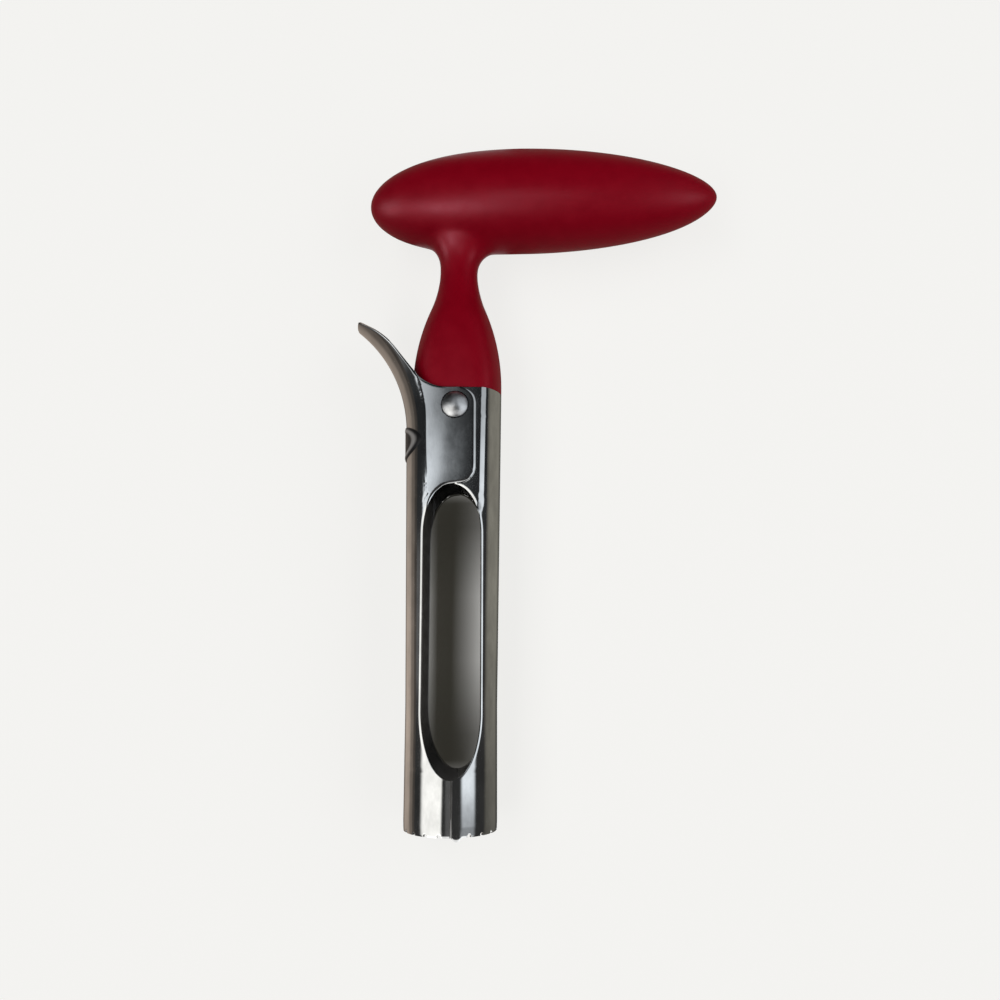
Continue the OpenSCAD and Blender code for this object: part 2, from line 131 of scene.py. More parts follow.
class CorerLeverSettings(bpy.types.PropertyGroup):
    """Sizes of the lever's ears and thumb tongue, its badge, rivet and spring"""

    ear_x: length("Ear reach", "From the tube's axis to the ears' edge", 6.4)
    ear_corner_r: length("Ear corner", "Radius of the ears' corners", 4.3)
    ear_slope: angle("Ear slope", "Slope of the ears' lower edge", 8)
    ear_step: angle("Ear step", "Slope with which the ears' lower edge leaves the slot", 30)
    ear_step_l: length("Ear step length", "Length over which that slope eases", 1.8)
    ear_top: length("Ear top", "How far the ears pass the pivot", 4.8)
    lobe_r: length("Lobe radius", "The fixed half's lobe round the pivot", 5)
    bend_back: length("Bend start", "From the pivot back to the bend", 5.9)
    bend_r: length("Bend radius", "Radius of the bend on the tongue's outside", 38)
    tongue_angle: angle("Tongue angle", "Angle the tongue bends through", 50.4)
    sweep_x: length("Sweep start", "From the tube's axis to the curve into the tongue", 1)
    sweep_r: length("Sweep radius", "Curve from the ears into the tongue", 11)
    sweep_angle: angle("Sweep angle", "Slope of the tongue's edge", 52)
    sweep_l: length("Sweep length", "Straight part of the tongue's edge", 9)
    tip_r: length("Tip radius", "Curve that narrows the tongue to its tip", 25)
    tip_angle: angle("Tip angle", "Slope of the tongue's edge at the tip", 30)
    badge_a: length("Badge half width", "Across the lever", 10.2)
    badge_b: length("Badge half height", "Along the tube", 4.6)
    badge_h: length("Badge height", "How far the badge stands out", 0.3)
    badge_sink: length("Badge depth", "How deep the badge sits in the lever", 0.2)
    bead_at: share("Bead place", "From the badge's middle, as a share of its half width", 0.8)
    bead_foot: share("Bead foot", "Half width of the bead at its foot, as a share", 0.117)
    bead_top: share("Bead top", "Half width of the bead at its top, as a share", 0.027)
    bead_h: length("Bead height", "How far the bead stands out of the badge", 0.1)
    badge_back: length("Badge place", "From the pivot back to the badge", 8.7)
    head_r: length("Rivet head radius", "Radius of the domed heads", 3.6)
    head_h: length("Rivet head height", "Height of the domed heads", 1.5)
    head_round: length("Rivet head rounding", "Rounding of the heads' rims", 0.12)
    post_r: length("Rivet post radius", "Radius of the rivet's post", 2)
    pin_r: length("Rivet pin radius", "Radius of the pin that sits in the post", 1.2)
    play: length("Play", "Gap under the rivet's heads", 0.05)
    wire_d: length("Wire", "Diameter of the spring's wire", 1)
    coil_r: length("Coil radius", "To the middle of the wire", 3.6)
    coil_pitch: length("Coil pitch", "Rise of the coil in one turn", 1.45)
    coil_turns: bpy.props.IntProperty(
        name="Coil turns", description="Full turns of the spring", default=4, min=1)
    leg_angle: angle("Leg angle", "Direction of the pushing leg", 155)
    leg_gap: length("Leg gap", "Between the pushing leg's tip and the lever", 0.1)
    rest_leg_l: length("Resting leg", "Length of the resting leg", 7)


class CorerGripSettings(bpy.types.PropertyGroup):
    """Sizes of the T handle and its neck"""

    neck_x: length("Neck offset", "From the tube's axis to the neck's", 0.8)
    neck_gap: length("Neck gap", "Between the neck and the tube", 0.1)
    collar_l: length("Collar", "Straight collar of the neck", 2)
    waist_l: length("Waist", "From the tube to the neck's waist", 35.5)
    waist_r: length("Waist radius", "Radius of the waist", 5.25)
    bulge: share("Bulge", "Share of the neck that bulges", 0.66)
    waist_x: length("Waist offset", "Lean of the waist to the long side", 0.25)
    flare_short: length("Short flare", "Radius of the flare into the handle's short side", 9)
    flare_long: length("Long flare", "Radius of the flare into the handle's long side", 7)
    flare_front: length("Front flare", "Radius of the flare into the handle's front and back", 13.6)
    short_end: length("Short flare end", "From the waist", 9.6)
    long_end: length("Long flare end", "From the waist", 6.7)
    front_end: length("Front flare end", "From the waist", 11.1)
    short_turn: angle("Short flare turn", "Angle the flare turns through", 68)
    long_turn: angle("Long flare turn", "Angle the flare turns through", 84)
    front_turn: angle("Front flare turn", "Angle the flare turns through", 46.7)
    handle_l: length("Handle place", "From the waist to the handle's axis", 20.9)
    thick_x: length("Thickest point", "From the tube's axis", 18)
    short_l: length("Short end", "From the thickest point", 42)
    long_l: length("Long end", "From the thickest point", 55.3)
    handle_d: length("Handle diameter", "At the thickest point", 28.6)
    droop: length("Droop", "How far the short end sinks towards the tube", 1.35)
    lift: length("Lift", "How far the long end's tip rises", 0.6)
    skin_grid: length("Skin grid", "Size of the skin's faces", 0.5)
    skin_round: length("Skin rounding", "Rounding of the skin's cut edges", 0.3)
    neck_round: length("Neck rounding", "Rounding of the change to the neck's flats", 3)
    fillet_up: length("Fillet place", "From the waist to the middle of the softened stretch", 8.5)
    fillet_r: length("Fillet reach", "Radius of the softened stretch", 17)
    fillet_fade: length("Fillet fade", "Length over which the softening fades out", 7)
    slit_gap: length("Slit gap", "Room round the spring's leg in the skin", 0.24)
    slit_in: length("Slit end", "From the neck's axis to the end of the spring's slit", 3)


class CorerFinishSettings(bpy.types.PropertyGroup):
    """Colours and gloss"""

    crimson: colour("Grip", "Soft crimson skin", (0.225, 0.0004, 0.0078))
    steel: colour("Steel", "Polished stainless sheet", (0.56, 0.56, 0.554))
    rivet: colour("Rivet", "Polished rivet heads", (0.56, 0.56, 0.56))
    # The inside colour is the steel painted much darker: painted shade on the tube's inner faces
    inside: colour("Inside", "Dull inner face of the sheet", (0.15, 0.145, 0.14))
    badge: colour("Badge", "Blank dark inlay", (0.012, 0.012, 0.013))
    # The bead's lighter grey is a painted highlight along the badge's raised bead
    lip: colour("Badge lip", "Worn lip of the inlay", (0.26, 0.25, 0.245))
    core: colour("Core", "Moulded core", (0.018, 0.018, 0.02))
    washer: colour("Washers", "Slip washers", (0.68, 0.68, 0.65))
    spring: colour("Spring", "Hard-drawn wire", (0.32, 0.32, 0.33))
    grip_gloss: share("Grip roughness", "Roughness of the skin", 0.4)
    steel_gloss: share("Steel roughness", "Roughness of the sheet", 0.075)


class CorerStageSettings(bpy.types.PropertyGroup):
    """Camera, floor and lamps"""

    lens: bpy.props.FloatProperty(
        name="Lens", description="Focal length in millimetres", default=33.153, min=1.0)
    camera_at: bpy.props.FloatVectorProperty(
        name="Camera", description="Place of the camera", size=3, subtype="XYZ", unit="LENGTH",
        default=(0.0187767, 0.0461079, 0.2414001), precision=5)
    camera_turn: bpy.props.FloatVectorProperty(
        name="Camera turn", description="Turns about X, Y and Z from straight down", size=3,
        subtype="EULER", unit="ROTATION", default=(-0.1838, 0.0259, -0.0053))
    shift: bpy.props.FloatProperty(
        name="Shift", description="Vertical shift of the lens", default=-0.03095)
    floor: colour("Floor", "Pale floor", (0.93, 0.925, 0.905))
    under: colour("Under", "Tint of the shade under the tube", (0.95, 0.9, 0.72))
    fill: colour("Fill", "Soft light from all round", (0.04, 0.037, 0.032))
    left_panel: colour("Left panel", "Light of the tent's left panel", (1.0, 0.995, 0.965))
    right_panel: colour("Right panel", "Light of the tent's right panel", (0.88, 0.94, 1.0))
    left_base: colour("Left base", "Base of the tent on the left", (0.72, 0.59, 0.49))
    right_base: colour("Right base", "Base of the tent on the right", (0.33, 0.315, 0.265))
    glow: share("Floor glow", "Share of the floor's look that doesn't take shadows", 0.86)
    lamp: bpy.props.FloatProperty(
        name="Lamp", description="Light of the small lamps that shine on the skin", default=34.0,
        min=0.0)


def settings():
    """The scene's own settings."""
    return bpy.context.scene.corer


class CorerSettings(bpy.types.PropertyGroup):
    """All settings of the corer"""

    tube: bpy.props.PointerProperty(type=CorerTubeSettings)
    lever: bpy.props.PointerProperty(type=CorerLeverSettings)
    grip: bpy.props.PointerProperty(type=CorerGripSettings)
    finish: bpy.props.PointerProperty(type=CorerFinishSettings)
    stage: bpy.props.PointerProperty(type=CorerStageSettings)


class Sizes:
    """One group's lengths in millimetres and its other values as they are."""

    def __init__(self, group):
        for key in group.__annotations__:
            prop = group.bl_rna.properties[key]
            value = getattr(group, key)
            setattr(self, key, value / MM if prop.unit == "LENGTH" else value)


def sizes(*groups):
    """The sizes of these groups of settings."""
    return [Sizes(getattr(settings(), group)) for group in groups]


def fade(low, high, value):
    """Smooth step from 0 at low to 1 at high."""
    part = np.clip((value - low) / (high - low), 0, 1)
    return part * part * (3 - 2 * part)


def run_along(line):
    """How far along a line of points each of them lies."""
    return np.concatenate([[0], np.cumsum(np.linalg.norm(np.diff(line, axis=0), axis=1))])


def spread(line, run, places):
    """The points at these places along a line whose own points lie at run."""
    return np.column_stack([np.interp(places, run, part) for part in line.T])


# Working on one object at a time


def pick(obj):
    """Only obj is selected, and it is active."""
    bpy.ops.object.select_all(action="DESELECT")
    obj.select_set(True)
    bpy.context.view_layer.objects.active = obj
    return obj


def edit(obj, *steps):
    """Runs edit mode steps on all of obj."""
    pick(obj)
    bpy.ops.object.mode_set(mode="EDIT")
    bpy.ops.mesh.select_all(action="SELECT")
    for step in steps:
        step()
    bpy.ops.object.mode_set(mode="OBJECT")


def modify(obj, kind, **values):
    """Adds one modifier to obj and applies it."""
    pick(obj)
    mod = obj.modifiers.new(kind.title(), kind)
    for key, value in values.items():
        setattr(mod, key, value)
    bpy.ops.object.modifier_apply(modifier=mod.name)


def added(name):
    """The primitive that was just added, under its own name."""
    obj = bpy.context.active_object
    obj.name = name
    obj.data.name = name
    return obj


def points(obj):
    """obj's vertices as an array, in millimetres."""
    co = np.empty(len(obj.data.vertices) * 3)
    obj.data.vertices.foreach_get("co", co)
    return co.reshape(-1, 3) / MM


def put(obj, where):
    """Moves obj's vertices to where, in millimetres."""
    obj.data.vertices.foreach_set("co", (np.asarray(where) * MM).ravel())
    obj.data.update()


def grid(name, where):
    """A grid primitive shaped to an array of rows and columns of points, in millimetres."""
    rows, columns = where.shape[:2]
    bpy.ops.object.select_all(action="DESELECT")
    bpy.ops.mesh.primitive_grid_add(x_subdivisions=columns - 1, y_subdivisions=rows - 1, size=1)
    obj = added(name)
    put(obj, where.reshape(-1, 3))
    return obj


def mark(obj, key, values):
    """Keeps one value for each of obj's vertices, for its material to use."""
    obj.data.attributes.new(key, "FLOAT", "POINT").data.foreach_set(
        "value", values.ravel().astype(np.float32))


def weld(obj, distance=1e-6):
    """Merges obj's doubled vertices and turns its faces outwards."""
    edit(obj, lambda: bpy.ops.mesh.remove_doubles(threshold=distance),
         lambda: bpy.ops.mesh.normals_make_consistent(inside=False))


def cylinder(name, radius, low, high, turn=None, sides=64):
    """A cylinder from low to high along Z, in millimetres, then turned by a matrix."""
    bpy.ops.object.select_all(action="DESELECT")
    bpy.ops.mesh.primitive_cylinder_add(vertices=sides, radius=radius * MM, depth=(high - low) * MM)
    obj = added(name)
    obj.data.transform(Matrix.Translation((0, 0, (high + low) / 2 * MM)))
    if turn is not None:
        obj.data.transform(turn)
    return obj


def join(objects, name):
    """One object from several."""
    pick(objects[0])
    for obj in objects:
        obj.select_set(True)
    bpy.ops.object.join()
    return added(name)


def cut(obj, cutter):
    """Cuts cutter out of obj and deletes it."""
    modify(obj, "BOOLEAN", object=cutter, operation="DIFFERENCE", solver="EXACT")
    bpy.data.objects.remove(cutter)


def smooth(obj, degrees=40):
    """Smooth shading, with edges sharper than this left hard."""
    pick(obj)
    bpy.ops.object.shade_smooth_by_angle(angle=math.radians(degrees))


def finish_edges(obj, width, segments=2, degrees=40):
    """Rounds obj's sharp edges and keeps its large faces' shading true."""
    modify(obj, "BEVEL", width=width * MM, segments=segments, limit_method="ANGLE",
           angle_limit=math.radians(degrees), use_clamp_overlap=True)
    pick(obj)
    bpy.ops.object.shade_smooth()
    modify(obj, "WEIGHTED_NORMAL", mode="FACE_AREA_WITH_ANGLE", weight=80, keep_sharp=False)


def dress(obj, material, body, slot, *nodes):
    """Gives obj its material and the body it rides on, and hides the nodes it stands for. slot is not
    used.
    """
    if not obj.data.materials:
        obj.data.materials.append(material)
    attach(obj, body)
    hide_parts(*nodes)


# The steel halves, each a sheet from its front edge round the wall to its rear edge


# Places of a row's points beside its edges, in millimetres, and the least length with room for them
RIM_PLACES = np.array([0, 0.12, 0.24, 0.36, 0.5, 0.7, 0.95])
RIM_ROOM = 8
# Rows of points at the mouth, and where the evenly spaced rows start, in millimetres
MOUTH_ROWS = list(np.arange(0, 3, 0.5))
EVEN_FROM = 3.5


def tube_slope(t):
    """How much the tube widens over its length, past its straight stretch."""
    return (t.top_r - t.mouth_r) / (t.tube_l - t.straight_l)


def tube_radius(t, y):
    """Outer radius of the tube at y."""
    radius = t.mouth_r + tube_slope(t) * max(y - t.straight_l, 0)
    return radius - t.bevel_in * max(1 - y / t.bevel_l, 0)


def flat_height(t, y, flat):
    """Distance from the axis to the pressed flats at y."""
    ramp = (y - t.flat_y + t.flat_ramp) / t.flat_ramp
    return t.top_r + (flat - t.top_r) * min(max(ramp, 0), 1)


def section(radius, flat, crease_r, reach=9.0, spacing=0.05, crease_points=24):
    """Points (out, z) of a half's outer face, from inside its front edge round to the rear."""
    inner = [(-reach, min(radius, flat))]
    start = 0.0
    if flat < radius - spacing / 5:
        middle = math.sqrt((radius - crease_r) ** 2 - (flat - crease_r) ** 2)
        start = math.atan2(middle, flat - crease_r)
        inner += [(middle + crease_r * math.sin(a), flat - crease_r + crease_r * math.cos(a))
                  for a in np.linspace(0, start, crease_points)]
    turn = np.arange(start, math.pi / 2 + 1e-9, spacing / radius)[1:]
    front = np.concatenate([inner, np.column_stack([radius * np.sin(turn), radius * np.cos(turn)])])
    line = np.concatenate([front, (front * [1, -1])[::-1]])
    run = run_along(line)
    return spread(line, run, np.linspace(0, run[-1], int(run[-1] / spacing) + 1))


def slot_half(t, y):
    """Half width of the slot at y, or nothing where there is no slot."""
    if not t.slot_start < y < t.slot_end:
        return None
    half, up = t.slot_w / 2, y - t.slot_start
    if up < t.slot_point_l:
        return half * (1 - (1 - up / t.slot_point_l) ** 2) ** t.slot_round
    arch = (y - t.slot_end + t.slot_arch_l) / t.slot_arch_l
    return half * math.sqrt(1 - max(arch, 0) ** 2)


def slot_middle(t, y):
    """X of the slot's middle at y. Its point leans towards the seam."""
    return t.slot_x + t.slot_lean * min(max(1 - (y - t.slot_start) / t.slot_point_l, 0), 1)


def half_edge(t, v, side, y):
    """X of a half's edge at y, along its seam and slot, without the ears."""
    edge = PIVOT.x + side * t.seam_gap / 2
    slot = slot_half(t, y)
    if slot is not None:
        edge = side * max(side * (slot_middle(t, y) + side * slot), side * edge)
    if side > 0 and abs(y - PIVOT.y) < v.lobe_r:
        edge = min(edge, PIVOT.x - math.sqrt(v.lobe_r ** 2 - (y - PIVOT.y) ** 2))
    return edge


def arc(middle_y, middle_x, radius, start, end, count):
    """Points (y, x) of an arc, whose angles are counted from +X to +Y."""
    return [(middle_y + radius * math.sin(a), middle_x + radius * math.cos(a))
            for a in np.linspace(start, end, count)]


def lever_edge(t, v, step_parts=5, past_tip=80):
    """The lever's edge seen from above, past the slot's arch, as rows of y and matching x."""
    lean = math.atan(math.tan(v.ear_step) * t.slot_w / 2 / t.slot_arch_l)
    x = t.slot_x - t.slot_w / 2 * math.sin(lean)
    y = t.slot_end - t.slot_arch_l * (1 - math.cos(lean))
    edge = [(y, x)]
    run = v.ear_step_l / step_parts
    for part in range(1, step_parts + 1):
        turn = v.ear_step + (v.ear_slope - v.ear_step) * part / step_parts
        x, y = x + run, y + run * math.tan(turn)
        edge.append((y, x))
    corner_x = v.ear_x - v.ear_corner_r
    corner_y = y + v.ear_corner_r * math.cos(v.ear_slope) + (
        corner_x + v.ear_corner_r * math.sin(v.ear_slope) - x) * math.tan(v.ear_slope)
    top = PIVOT.y + v.ear_top
    right = math.pi / 2
    edge += arc(corner_y, corner_x, v.ear_corner_r, v.ear_slope - right, 0, 12)
    edge += arc(top - v.ear_corner_r, corner_x, v.ear_corner_r, 0, right, 13)
    edge += arc(top + v.sweep_r, -v.sweep_x, v.sweep_r, -right, -right - v.sweep_angle, 12)
    y, x = edge[-1]
    y, x = y + v.sweep_l * math.sin(v.sweep_angle), x - v.sweep_l * math.cos(v.sweep_angle)
    edge += arc(y - v.tip_r * math.cos(v.sweep_angle), x - v.tip_r * math.sin(v.sweep_angle), v.tip_r,
                right - v.sweep_angle, right - v.tip_angle, 10)
    y, x = edge[-1]
    edge.append((y + past_tip * math.sin(v.tip_angle), x - past_tip * math.cos(v.tip_angle)))
    edge = np.array(edge)
    # A tiny rise keeps y growing along the whole edge
    edge[:, 0] += np.arange(len(edge)) * 1e-5
    return edge[:, 0], edge[:, 1]


class Half:
    """Places rows of one half's outer face. side is 1 for the fixed half and -1 for the lever."""

    def __init__(self, t, v, side):
        self.t, self.v, self.side = t, v, side
        self.flat = t.fixed_flat if side > 0 else t.lever_flat
        self.crease_r = t.fixed_crease_r if side > 0 else t.lever_crease_r
        self.bend_y = PIVOT.y - v.bend_back
        self.bend_tube_r = tube_radius(t, self.bend_y)
        self.bend_c = v.bend_r + self.bend_tube_r
        self.edge_y, self.edge_x = lever_edge(t, v)
        self.bent = section(self.bend_tube_r, self.flat, self.crease_r)

    def line(self, p):
        """The outer face's points at row place p: past the bend, p - bend_y is along the wall."""
        if self.side > 0 or p <= self.bend_y:
            y = p
            line = section(tube_radius(self.t, y), flat_height(self.t, y, self.flat),
                           self.crease_r)
            return np.column_stack([self.side * line[:, 0], np.full(len(line), y), line[:, 1]])
        turn = (p - self.bend_y) / self.v.bend_r
        reach = self.bend_c - self.bent[:, 0]
        return np.column_stack([reach * math.cos(turn) - self.bend_c,
                                self.bend_y + reach * math.sin(turn), self.bent[:, 1]])

    def inside(self, line):
        """How far each point lies inside the half's outline, in X."""
        x, y = line[:, 0], line[:, 1]
        if not np.ptp(y) and (self.side > 0 or y[0] < self.edge_y[0]):
            return self.side * (x - half_edge(self.t, self.v, self.side, y[0]))
        return np.interp(y, self.edge_y, self.edge_x) - x

    def row(self, p, columns):
        """Evenly spaced points of the row at p, from its front edge to its rear edge."""
        line = self.line(p)
        gap = self.inside(line)
        first = int(np.argmax(gap > 0))
        back = first - 1
        part = gap[first] / max(gap[first] - gap[back], 1e-9) if first else 0.0
        edge = line[first] + (line[back] - line[first]) * part
        last = len(line) - first
        path = np.concatenate([[edge], line[first:last], [edge * [1, 1, -1]]])
        run = run_along(path)
        rim = RIM_PLACES * min(1, run[-1] / RIM_ROOM)
        even = np.linspace(rim[-1], run[-1] - rim[-1], columns - 2 * len(rim) + 2)
        return spread(path, run, np.concatenate([rim[:-1], even, run[-1] - rim[-2::-1]]))

    def rows(self, places, columns, widest=0.55, closest=0.02, steepest=1.3):
        """Rows at these places, with more where the front edge runs across them."""
        made = [(p, self.row(p, columns)) for p in places]
        k = 0
        while k < len(made) - 1:
            (p, a), (q, b) = made[k], made[k + 1]
            if np.linalg.norm(a[0] - b[0]) > max(widest, steepest * (q - p)) and q - p > closest:
                made.insert(k + 1, ((p + q) / 2, self.row((p + q) / 2, columns)))
            else:
                k += 1
        return np.array([r for _, r in made])


def guide_tooth(t, where):
    """Draws the corners of the sheet beside the seam down into rounded guide teeth."""
    run = run_along(where[0])
    root = np.clip(1 - where[:, :, 1] / t.guide_root, 0, 1)
    for along in (run, run[-1] - run):
        away = np.clip(np.abs(along - t.guide_r) / t.guide_r, 0, 1)
        drop = np.minimum(t.guide_r - t.guide_l - t.guide_r * np.sqrt(1 - away ** 2), 0)
        where[:, :, 1] += drop[None, :] * root


def roll_edges(t, where):
    """Turns a sheet's front and rear edges in a little past the slot's start, as wear does."""
    out = np.cross(np.gradient(where, axis=1), np.gradient(where, axis=0))
    out /= np.maximum(np.linalg.norm(out, axis=2, keepdims=True), 1e-12)
    out *= np.sign((out * where)[:, :, [0, 2]].sum())
    gap = np.full(where.shape[:2], np.inf)
    for edge in (where[:, 0], where[:, -1]):
        for start, run in zip(edge[:-1], np.diff(edge, axis=0)):
            part = np.clip((where - start) @ run / max(run @ run, 1e-12), 0, 1)
            gap = np.minimum(gap, np.linalg.norm(where - start - part[:, :, None] * run, axis=2))
    depth = t.roll_d * np.clip((where[:, :, 1] - t.slot_start) / t.roll_run, 0, 1)
    return where - out * (depth * np.clip(1 - gap / t.roll_w, 0, 1) ** 2)[:, :, None]


def even_mouth(t, obj):
    """Makes the inner wall round at the mouth, where only the outside is ground."""
    place = points(obj)
    radius = np.hypot(place[:, 0], place[:, 2])
    near = place[:, 1] < t.bevel_l + t.sheet_t / 2
    inner = near & (radius < t.mouth_r - 0.6 * t.sheet_t - t.bevel_in / 2)
    place[inner, 0] *= (t.mouth_r - t.sheet_t) / radius[inner]
    place[inner, 2] *= (t.mouth_r - t.sheet_t) / radius[inner]
    put(obj, place)


def mouth_notches(t, side):
    """The notches between a half's teeth. The fixed half keeps one more pitch for its guide tooth."""
    first = t.tooth_pitch * (1.5 if side > 0 else 0.5)
    notches = []
    for a in np.arange(first, math.pi - first + 0.01, t.tooth_pitch):
        turn = Matrix.Rotation(side * a, 4, "Y") @ Matrix.Translation(
            (0, (t.notch_d - t.notch_r) * MM, 0))
        notches.append(cylinder("notch", t.notch_r, t.mouth_r / 2, 1.5 * t.mouth_r, turn, sides=20))
    return join(notches, "notches")


def half_shell(name, side, rows, columns=132):
    """One half of the tube as a bent sheet with cut edges, teeth and a pivot hole."""
    t, v = sizes("tube", "lever")
    half = Half(t, v, side)
    end = t.tube_l if side > 0 else half.bend_y + v.bend_r * v.tongue_angle
    where = half.rows(MOUTH_ROWS + list(np.linspace(EVEN_FROM, end, rows)), columns)
    where = roll_edges(t, where)
    if side > 0:
        guide_tooth(t, where)
    obj = grid(name, where)
    for finish in ("Polished steel", "Steel inside"):
        obj.data.materials.append(finishes()[finish])
    if side * sum(face.normal.x for face in obj.data.polygons) < 0:
        edit(obj, bpy.ops.mesh.flip_normals)
    # The inner faces take the darker steel: painted shade inside the tube
    modify(obj, "SOLIDIFY", thickness=t.sheet_t * MM, offset=-1, use_even_offset=True,
           use_rim=True, material_offset=1)
    even_mouth(t, obj)
    weld(obj)
    cut(obj, mouth_notches(t, side))
    pivot = Matrix.Translation((PIVOT.x * MM, PIVOT.y * MM, 0))
    through = 2 * t.top_r
    cut(obj, cylinder("hole", v.post_r + v.play, -through, through, pivot, sides=48))
    finish_edges(obj, t.rim_w)
    for face in obj.data.polygons:
        at_seam = abs(face.center.x / MM - PIVOT.x) < t.seam_line / 2
        if at_seam and face.center.y < t.slot_start * MM:
            face.material_index = 1
    return obj


# The soft grip


def bar_share(u, short_power=2.5, long_power=0.55):
    """Thickness of the handle at u, from -1 at its short end to 1 at its long end."""
    a = np.abs(u)
    return np.where(u < 0, np.sqrt(np.maximum(1 - a ** short_power, 0)),
                    np.maximum(1 - a ** 2, 0) ** long_power)


def ball(name, segments, rings):
    """A sphere primitive and its points on the unit sphere."""
    bpy.ops.object.select_all(action="DESELECT")
    bpy.ops.mesh.primitive_uv_sphere_add(segments=segments, ring_count=rings, radius=1)
    obj = added(name)
    return obj, points(obj) * MM


def polar(unit, pole=1e-6):
    """Each point's place along the sphere's axis, its reach from the axis and its direction."""
    reach = np.hypot(unit[:, 0], unit[:, 1])
    around = unit[:, :2] / np.maximum(reach, pole)[:, None]
    return unit[:, 2], reach, np.where(reach[:, None] > pole, around, 0)


def soft_min(a, b, width):
    """The smaller of a and b, with a rounded change from one to the other."""
    h = np.clip(0.5 + 0.5 * (b - a) / width, 0, 1)
    return b + (a - b) * h - width * h * (1 - h)


def neck_radius(g, t, y, around):
    """Radius of the neck at y, in the direction around, given in X and Z."""
    start = t.tube_l + g.collar_l
    rise = g.waist_l - g.collar_l
    wide = t.top_r - g.neck_x
    turn = 2 * math.atan((wide - g.waist_r) / rise)
    bulge = rise * g.bulge / math.sin(turn)
    hollow = rise * (1 - g.bulge) / math.sin(turn)
    up = y - start
    low = wide - bulge + np.sqrt(np.maximum(bulge ** 2 - np.maximum(up, 0) ** 2, 0))
    high = g.waist_r + hollow - np.sqrt(np.maximum(hollow ** 2 - np.minimum(up - rise, 0) ** 2, 0))
    radius = np.where(up < rise * g.bulge, low, high)
    front, long = around[:, 1] ** 2, (1 + around[:, 0]) / 2

    def blended(at_front, at_long, at_short):
        """The value in each direction between those of the front, the long and the short side."""
        return at_front * front + (1 - front) * (at_long * long + at_short * (1 - long))

    flare = blended(g.flare_front, g.flare_long, g.flare_short)
    run = flare * blended(*(math.sin(a) for a in (g.front_turn, g.long_turn, g.short_turn)))
    end = blended(g.front_end, g.long_end, g.short_end)
    past = np.clip(up - rise - end + run, 0, run)
    return radius + flare - np.sqrt(flare ** 2 - past ** 2)


def handle_bar(g, handle_y, droop_power=1.2, lift_power=8):
    """The handle's bar, with a drooping short end and a long end whose tip rises."""
    obj, unit = ball("grip", segments=96, rings=96)
    u, _, around = polar(unit)
    thick = g.handle_d / 2 * bar_share(u)
    middle = handle_y + np.where(u < 0, -g.droop * np.abs(u) ** droop_power,
                                 g.lift * np.abs(u) ** lift_power)
    put(obj, np.column_stack([g.thick_x + np.where(u < 0, g.short_l, g.long_l) * u,
                              middle + thick * around[:, 0], thick * around[:, 1]]))
    weld(obj)
    return obj


def neck_form(g, t, handle_y, run_on=8, end_steepness=4):
    """The neck, from inside the tube to inside the handle, with flats level with the tube's."""
    obj, unit = ball("neck", segments=96, rings=160)
    u, reach, around = polar(unit)
    low, high = t.tube_l - run_on, handle_y - run_on
    y = low + (high - low) * (1 - np.arccos(np.clip(u, -1, 1)) / math.pi)
    radius = neck_radius(g, t, y, around) * np.minimum(end_steepness * reach, 1)
    lean = g.waist_x * np.clip((y - t.tube_l) / g.waist_l, 0, 1)
    flat = np.where(y < t.tube_l + g.waist_l, t.fixed_flat, 2 * t.fixed_flat)
    z = np.sign(around[:, 1]) * soft_min(np.abs(around[:, 1] * radius), flat, g.neck_round)
    put(obj, np.column_stack([g.neck_x + lean + around[:, 0] * radius, y, z]))
    weld(obj)
    return obj


def soften(g, skin, fillet_y, fillet_rounds=70, skin_rounds=6):
    """Softens the join of neck and handle, and the whole skin a little."""
    group = skin.vertex_groups.new(name="fillet")
    place = points(skin)
    away = np.hypot(place[:, 0] - g.neck_x, place[:, 1] - fillet_y)
    for index, weight in enumerate(np.clip((g.fillet_r - away) / g.fillet_fade, 0, 1)):
        if weight > 0:
            group.add([index], float(weight), "REPLACE")
    modify(skin, "SMOOTH", factor=0.5, iterations=fillet_rounds, vertex_group="fillet")
    modify(skin, "SMOOTH", factor=0.5, iterations=skin_rounds)
    skin.vertex_groups.clear()


def spring_slit(g, t, v, depth=40, below=2, above=4):
    """The room that the spring's pushing leg needs in the neck, out to the lever's side."""
    spring = Spring(t, v)
    width = v.wire_d + 2 * g.slit_gap
    low, high = t.tube_l - below, spring.tip.y + above
    bpy.ops.object.select_all(action="DESELECT")
    bpy.ops.mesh.primitive_cube_add(size=1)
    slit = added("slit")
    put(slit, points(slit) * MM * [depth, high - low, width] + [
        g.neck_x - g.slit_in - depth / 2, (low + high) / 2, spring.top])
    modify(slit, "BEVEL", width=g.skin_round * MM, segments=3, limit_method="ANGLE")
    return slit


def grip_skin():
    """The handle and neck as one soft, seamless skin."""
    g, t, v = sizes("grip", "tube", "lever")
    waist_y = t.tube_l + g.waist_l
    handle_y = waist_y + g.handle_l
    skin = handle_bar(g, handle_y)
    neck = neck_form(g, t, handle_y)
    modify(skin, "BOOLEAN", object=neck, operation="UNION", solver="EXACT")
    bpy.data.objects.remove(neck)
    modify(skin, "REMESH", mode="VOXEL", voxel_size=g.skin_grid * MM)
    soften(g, skin, waist_y + g.fillet_up)
    foot = Vector((0, (t.tube_l + g.neck_gap) * MM, 0))
    edit(skin, lambda: bpy.ops.mesh.bisect(plane_co=foot, plane_no=(0, 1, 0), use_fill=True,
                                           clear_inner=True))
    weld(skin)
    modify(skin, "BEVEL", width=g.skin_round * MM, segments=3, limit_method="ANGLE",
           angle_limit=math.radians(50))
    cut(skin, spring_slit(g, t, v))
    smooth(skin, 45)
    return skin


# Rivet, badge and spring


